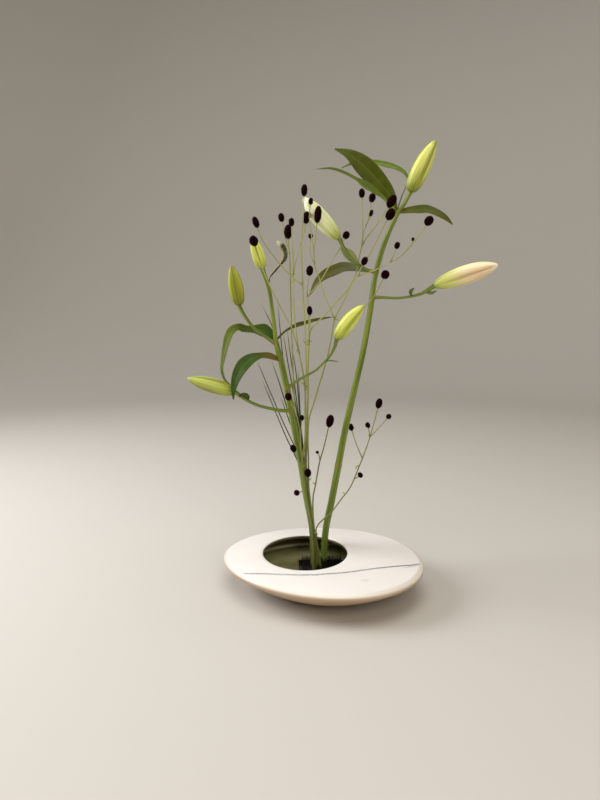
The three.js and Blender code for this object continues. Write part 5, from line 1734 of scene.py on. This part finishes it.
SPRAYS = [
    Burnet("burnet_fore", [
        Branch([(-18, 14, 13.3), (-18, 14, 53), (-22, 12, 103), (-27, 10, 141), (-31, 8, 168), (-33, 7, 192),
                (-31, 8, 212), (-28, 10, 234), (-28, 11, 276), (-28, 9, 306)], (1.7, 1.4)),
        Branch([(-28, 9, 306), (-27, 8, 336), (-27, 7, 367), (-29, 5, 408), (-32, 3, 459)], (1.3, 1.1)),
        Branch([(-32, 3, 459), (-34, 1, 508), (-32, 0, 545), (-31, -1, 568), (-30, -2, 589)],
               (0.9, 0.8), (4.4, 8.1)),
        Branch([(-32, 3, 459), (-47, -5, 470), (-63, -12, 487), (-78, -15, 505), (-89, -16, 522),
                (-97, -16, 544)],
               (0.9, 0.8), (4.4, 8.1)),
    ], bracts=[(-28, 9, 309, 7), (-28, 9, 311, -10), (-27, 7, 371, 8), (-27, 7, 374, -6), (-32, 3, 459, -5)]),
    Burnet("burnet_tall", [
        Branch([(-17, 41.5, 13.3), (-17.5, 41, 60), (-22, 40, 95), (-27, 39, 130), (-28, 31, 200),
                (-27, 22, 270), (-30, 15, 320), (-37, 10, 360)], (1.5, 1.2)),
        Branch([(-37, 10, 360), (-49, -6, 401), (-59, -11, 420), (-68, -16, 438), (-79, -24, 460),
                (-88, -33, 483), (-95, -42, 504), (-98, -46, 516)], (0.9, 0.8), (5.9, 7.4)),
        Branch([(-37, 10, 360), (-42, 5, 395), (-45, 2, 438), (-46, 2, 472)], (1.0, 0.9)),
        Branch([(-46, 2, 472), (-46, 1, 497), (-47, 0, 520), (-48, -1, 546)], (0.9, 0.7), (4, 5.9)),
        Branch([(-46, 2, 472), (-43, 3, 489), (-37, 4.5, 511), (-30, 4.5, 532), (-27, 5.2, 553)], (0.9, 0.7),
               (5.4, 8.8)),
    ], bracts=[(-37, 10, 361, -6), (-40, 8, 430, 9), (-46, 2, 472, 4)]),
    Burnet("burnet_back", [
        Branch([(-9, 37, 13.3), (-14, 40, 84), (-19, 40, 118), (-23, 39, 146), (-26, 38, 175), (-26, 35, 209),
                (-25, 31, 240), (-24, 26, 285), (-24, 20, 338), (-23, 17, 373)], (1.5, 1.2)),
        Branch([(-23, 17, 373), (-23, 15, 410), (-25, 14, 443)], (1.0, 0.9)),
        Branch([(-25, 14, 443), (-26, 13, 454), (-24, 12, 465), (-22, 12, 480)], (0.9, 0.8), (5.1, 7.4)),
        Branch([(-25, 14, 443), (-14, 16, 456), (-6, 18, 466), (9, 21, 491), (22, 24, 512), (31, 25, 531)],
               (0.9, 0.7), (5.1, 5.9)),
        Branch([(-23, 17, 373), (-22, 11, 395), (-21, 7, 411), (-22, 6, 423)], (0.9, 0.8), (4, 6.6)),
        Branch([(-23, 17, 373), (-20, 18, 395), (-6, 20, 410), (8, 22, 424), (23, 24, 441), (34, 25, 453),
                (46, 25, 477), (51, 25, 503), (54, 25, 516)], (1.1, 0.9)),
        Branch([(54, 25, 516), (55, 26, 531), (54, 27, 560), (53, 28, 590)], (0.8, 0.7), (4.4, 6.6)),
        Branch([(54, 25, 516), (56, 22, 535), (62, 20, 554), (67, 18, 582)], (0.8, 0.7), (4.8, 6.6)),
        Branch([(58, 21, 543), (62, 20, 550), (66, 19, 561)], (0.7, 0.7), (2.9, 5.1)),
        Branch([(54, 25, 516), (59, 17, 526), (69, 4, 539), (77, -10, 551), (89, -21, 571)],
               (0.9, 0.8), (5.9, 9.6)),
    ], bracts=[(-23, 17, 374, 6), (-23, 17, 376, -5), (54, 25, 516, 4), (8, 22, 424, 4)]),
    Burnet("burnet_right", [
        Branch([(-4, 18, 13.3), (-10, 17.5, 61), (-16, 17, 98), (-21, 17.5, 134), (-23, 18, 165),
                (-23, 18, 197), (-24, 16, 235), (-22, 15, 264), (-16, 15, 283), (-5, 13, 322), (1, 11, 343),
                (7, 9, 368), (14, 8, 411)], (1.5, 1.1)),
        Branch([(14, 8, 411), (6, 10, 430), (0, 11, 444), (-7, 11, 465), (-15, 10, 488), (-21, 8, 506),
                (-21, 7, 528)], (0.9, 0.7), (3.3, 3.7)),
        Branch([(-15, 10, 488), (-16, 5, 509), (-14, 1, 525), (-11, -4, 556)], (0.8, 0.8), (5.1, 11.8)),
        Branch([(-15, 10, 488), (-17, 5, 509), (-20, 2, 529), (-23, -1, 552), (-21, -2, 574)],
               (0.7, 0.7), (3.3, 4.8)),
        Branch([(14, 8, 411), (24, 9, 431), (31, 9, 444), (41, 8, 465), (47, 7, 472)], (1.0, 0.9)),
        Branch([(47, 7, 472), (55, 5, 475), (68, 3, 479), (81, 2, 485), (103, -3, 497), (114, -6, 507),
                (131, -12, 529), (142, -15, 546)], (0.9, 0.7), (5.9, 7.4)),
        Branch([(92, -1, 491), (96, -2, 500), (101, -3, 514)], (0.7, 0.7), (3.7, 5.1)),
        Branch([(120, -8, 513), (122, -8, 522)], (0.7, 0.7), (2.2, 2.9)),
        Branch([(47, 7, 472), (52, 7, 484), (61, 5, 499), (71, -1, 518), (83, -5, 543), (90, -6, 556)],
               (0.9, 0.8), (6.2, 8.8)),
        Branch([(47, 7, 472), (51, 5, 482), (56, 3, 493)], (0.7, 0.7), (4.4, 6.6)),
        Branch([(14, 8, 411), (31, 4, 408), (50, 2, 422), (62, 2, 434), (72, 3, 446), (80, 4, 462),
                (86, 4, 474)],
               (0.8, 0.7), (5.9, 6.6)),
    ], bracts=[(14, 8, 411, -5), (14, 8, 413, 5), (47, 7, 472, 4), (-5, 13, 322, 4)]),
    Burnet("burnet_middle", [
        Branch([(-9, 43, 13.3), (-12, 44, 66), (-15, 45, 99), (-15, 44, 131), (-12, 42, 147), (-5, 37, 190),
                (1, 34, 213), (10, 31, 255)], (1.3, 1.0), (5.9, 10.3)),
        Branch([(-5, 37, 190), (-6, 35, 199), (-9, 34, 205)], (0.7, 0.7), (2.6, 2.6)),
    ], bracts=[(-12, 42, 150, -5)]),
    Burnet("burnet_small", [
        Branch([(-2, 12, 13.3), (-5, 11, 40), (-9, 9.5, 62), (-11.5, 8.8, 82), (-9.5, 9.5, 94),
                (-3.5, 10.5, 101.5), (4, 12, 108), (12, 13, 115), (30, 17, 138), (41, 20, 152),
                (55, 25, 184), (66, 29, 212), (78, 33, 252), (85, 34, 282)], (1.2, 0.8), (5.1, 8.1)),
        Branch([(60, 27, 198), (52, 32, 216), (43, 38, 244)], (0.8, 0.7), (4, 5.9)),
        Branch([(72, 31, 230), (70, 30, 241), (68, 29, 249)], (0.7, 0.7), (3.7, 4.8)),
        Branch([(72, 31, 230), (84, 34, 242), (101, 37, 261)], (0.7, 0.7), (3.7, 4.4)),
        Branch([(48, 22, 166), (53, 22, 169), (57, 22, 172)], (0.7, 0.7), (4.4, 4)),
    ], bracts=[(49, 22, 182, 7), (33, 17, 143, -4), (72, 31, 230, -4)]),
    Burnet("burnet_low", [
        Branch([(-7, 14, 13.3), (-11, 13.5, 62), (-15, 12.8, 98), (-19, 12, 127), (-22, 11.5, 151),
                (-22.9, 10.8, 167), (-24, 10, 179)], (1.4, 1.0), (5.1, 7)),
    ], bracts=[(-22.6, 11, 166, 5)]),
    Burnet("burnet_left", [
        Branch([(-15, 0, 13.3), (-18, 1, 91), (-22, 1, 118), (-27, 1, 144), (-30, 1, 164), (-32, 1, 186),
                (-34, 1, 209), (-35, 1, 232), (-33, 1, 266)], (1.4, 0.8), (3.3, 4.4)),
        Branch([(-29, 1, 156), (-36, 2, 151), (-41, 2, 150)], (0.8, 0.7), (4.4, 4.4)),
        Branch([(-32, 1, 190), (-38, 0, 201), (-42, -1, 211), (-46, -2, 220)], (0.8, 0.8), (4.4, 6.2)),
        Branch([(-35, 1, 232), (-37, -2, 251), (-42, -5, 274), (-53, -8, 299)], (0.8, 0.7), (5.1, 5.9)),
    ], bracts=[(-32, 1, 190, 4)]),
    Burnet("burnet_upright", [
        Branch([(-15, 36, 13.3), (-17, 35.5, 60), (-22, 34, 100), (-30, 32, 142), (-37, 29, 197),
                (-42, 27, 245), (-45, 25, 296), (-47, 23, 350), (-49, 21, 410), (-50, 20, 460),
                (-51, 19, 503)], (1.4, 0.9)),
        Branch([(-51, 19, 503), (-53, 19, 518), (-53, 18, 535)], (0.8, 0.8), (5.9, 10.3)),
        Branch([(-51, 19, 503), (-55, 22, 518), (-59, 24, 533), (-63, 27, 556)], (0.8, 0.7), (4.4, 6.6)),
    ], bracts=[(-50, 20, 460, 4)]),
]

RUSH = Rush(
    sheath=[(-14, 46.2, 13.3, 2.5), (-16.5, 47, 60, 2.2), (-25, 45, 110, 1.8)],
    blades=[
        [(-25, 45, 106), (-36, 43, 177), (-59, 37, 232), (-93, 30, 318)],
        [(-25, 45, 106), (-31, 42, 175), (-67, 32, 265), (-101, 24, 350)],
        [(-25, 45, 106), (-41, 42, 215), (-66, 36, 308), (-79, 30, 349)],
        [(-25, 45, 106), (-44, 46, 224), (-54, 45, 256), (-66, 43, 291)],
        [(-25, 45, 106), (-38, 46, 239), (-60, 46, 337), (-70, 44, 438)],
        [(-25, 45, 106), (-38, 50, 246), (-55, 52, 345), (-62, 51, 391)],
        [(-25, 45, 106), (-36, 52, 238), (-49, 55, 341), (-56, 56, 394)],
        [(-25, 45, 106), (-34, 56, 222), (-42, 60, 325), (-50, 62, 371)],
        [(-25, 45, 106), (-31, 48, 206), (-35, 49, 254), (-39, 49, 332)],
        [(-25, 45, 106), (-50, 36, 257), (-73, 28, 387), (-93, 22, 434)],
    ],
)

STALK = CutStalk([(-12.4, 3.5, 13.3, 2.5), (-12.5, 3.5, 53, 2.4), (-11.6, 3.5, 86, 2.3)])


def main() -> None:
    """Build every piece and the studio, and log how many faces each piece has and how many pieces there are.
    """
    logging.basicConfig(level=logging.INFO, format="%(message)s")
    bowl = Bowl()
    pieces = [*bowl.build(), *Water(bowl).build(), *PinHolder().build()]
    for part in (RIGHT_LILY, LEFT_LILY, *SPRAYS, RUSH, STALK):
        pieces += part.build()
    pieces += WITHERED_LEAF.build("dry_leaf")
    Studio().build()
    LOG.info("%d pieces", len(pieces))


if __name__ == "__main__":
    main()
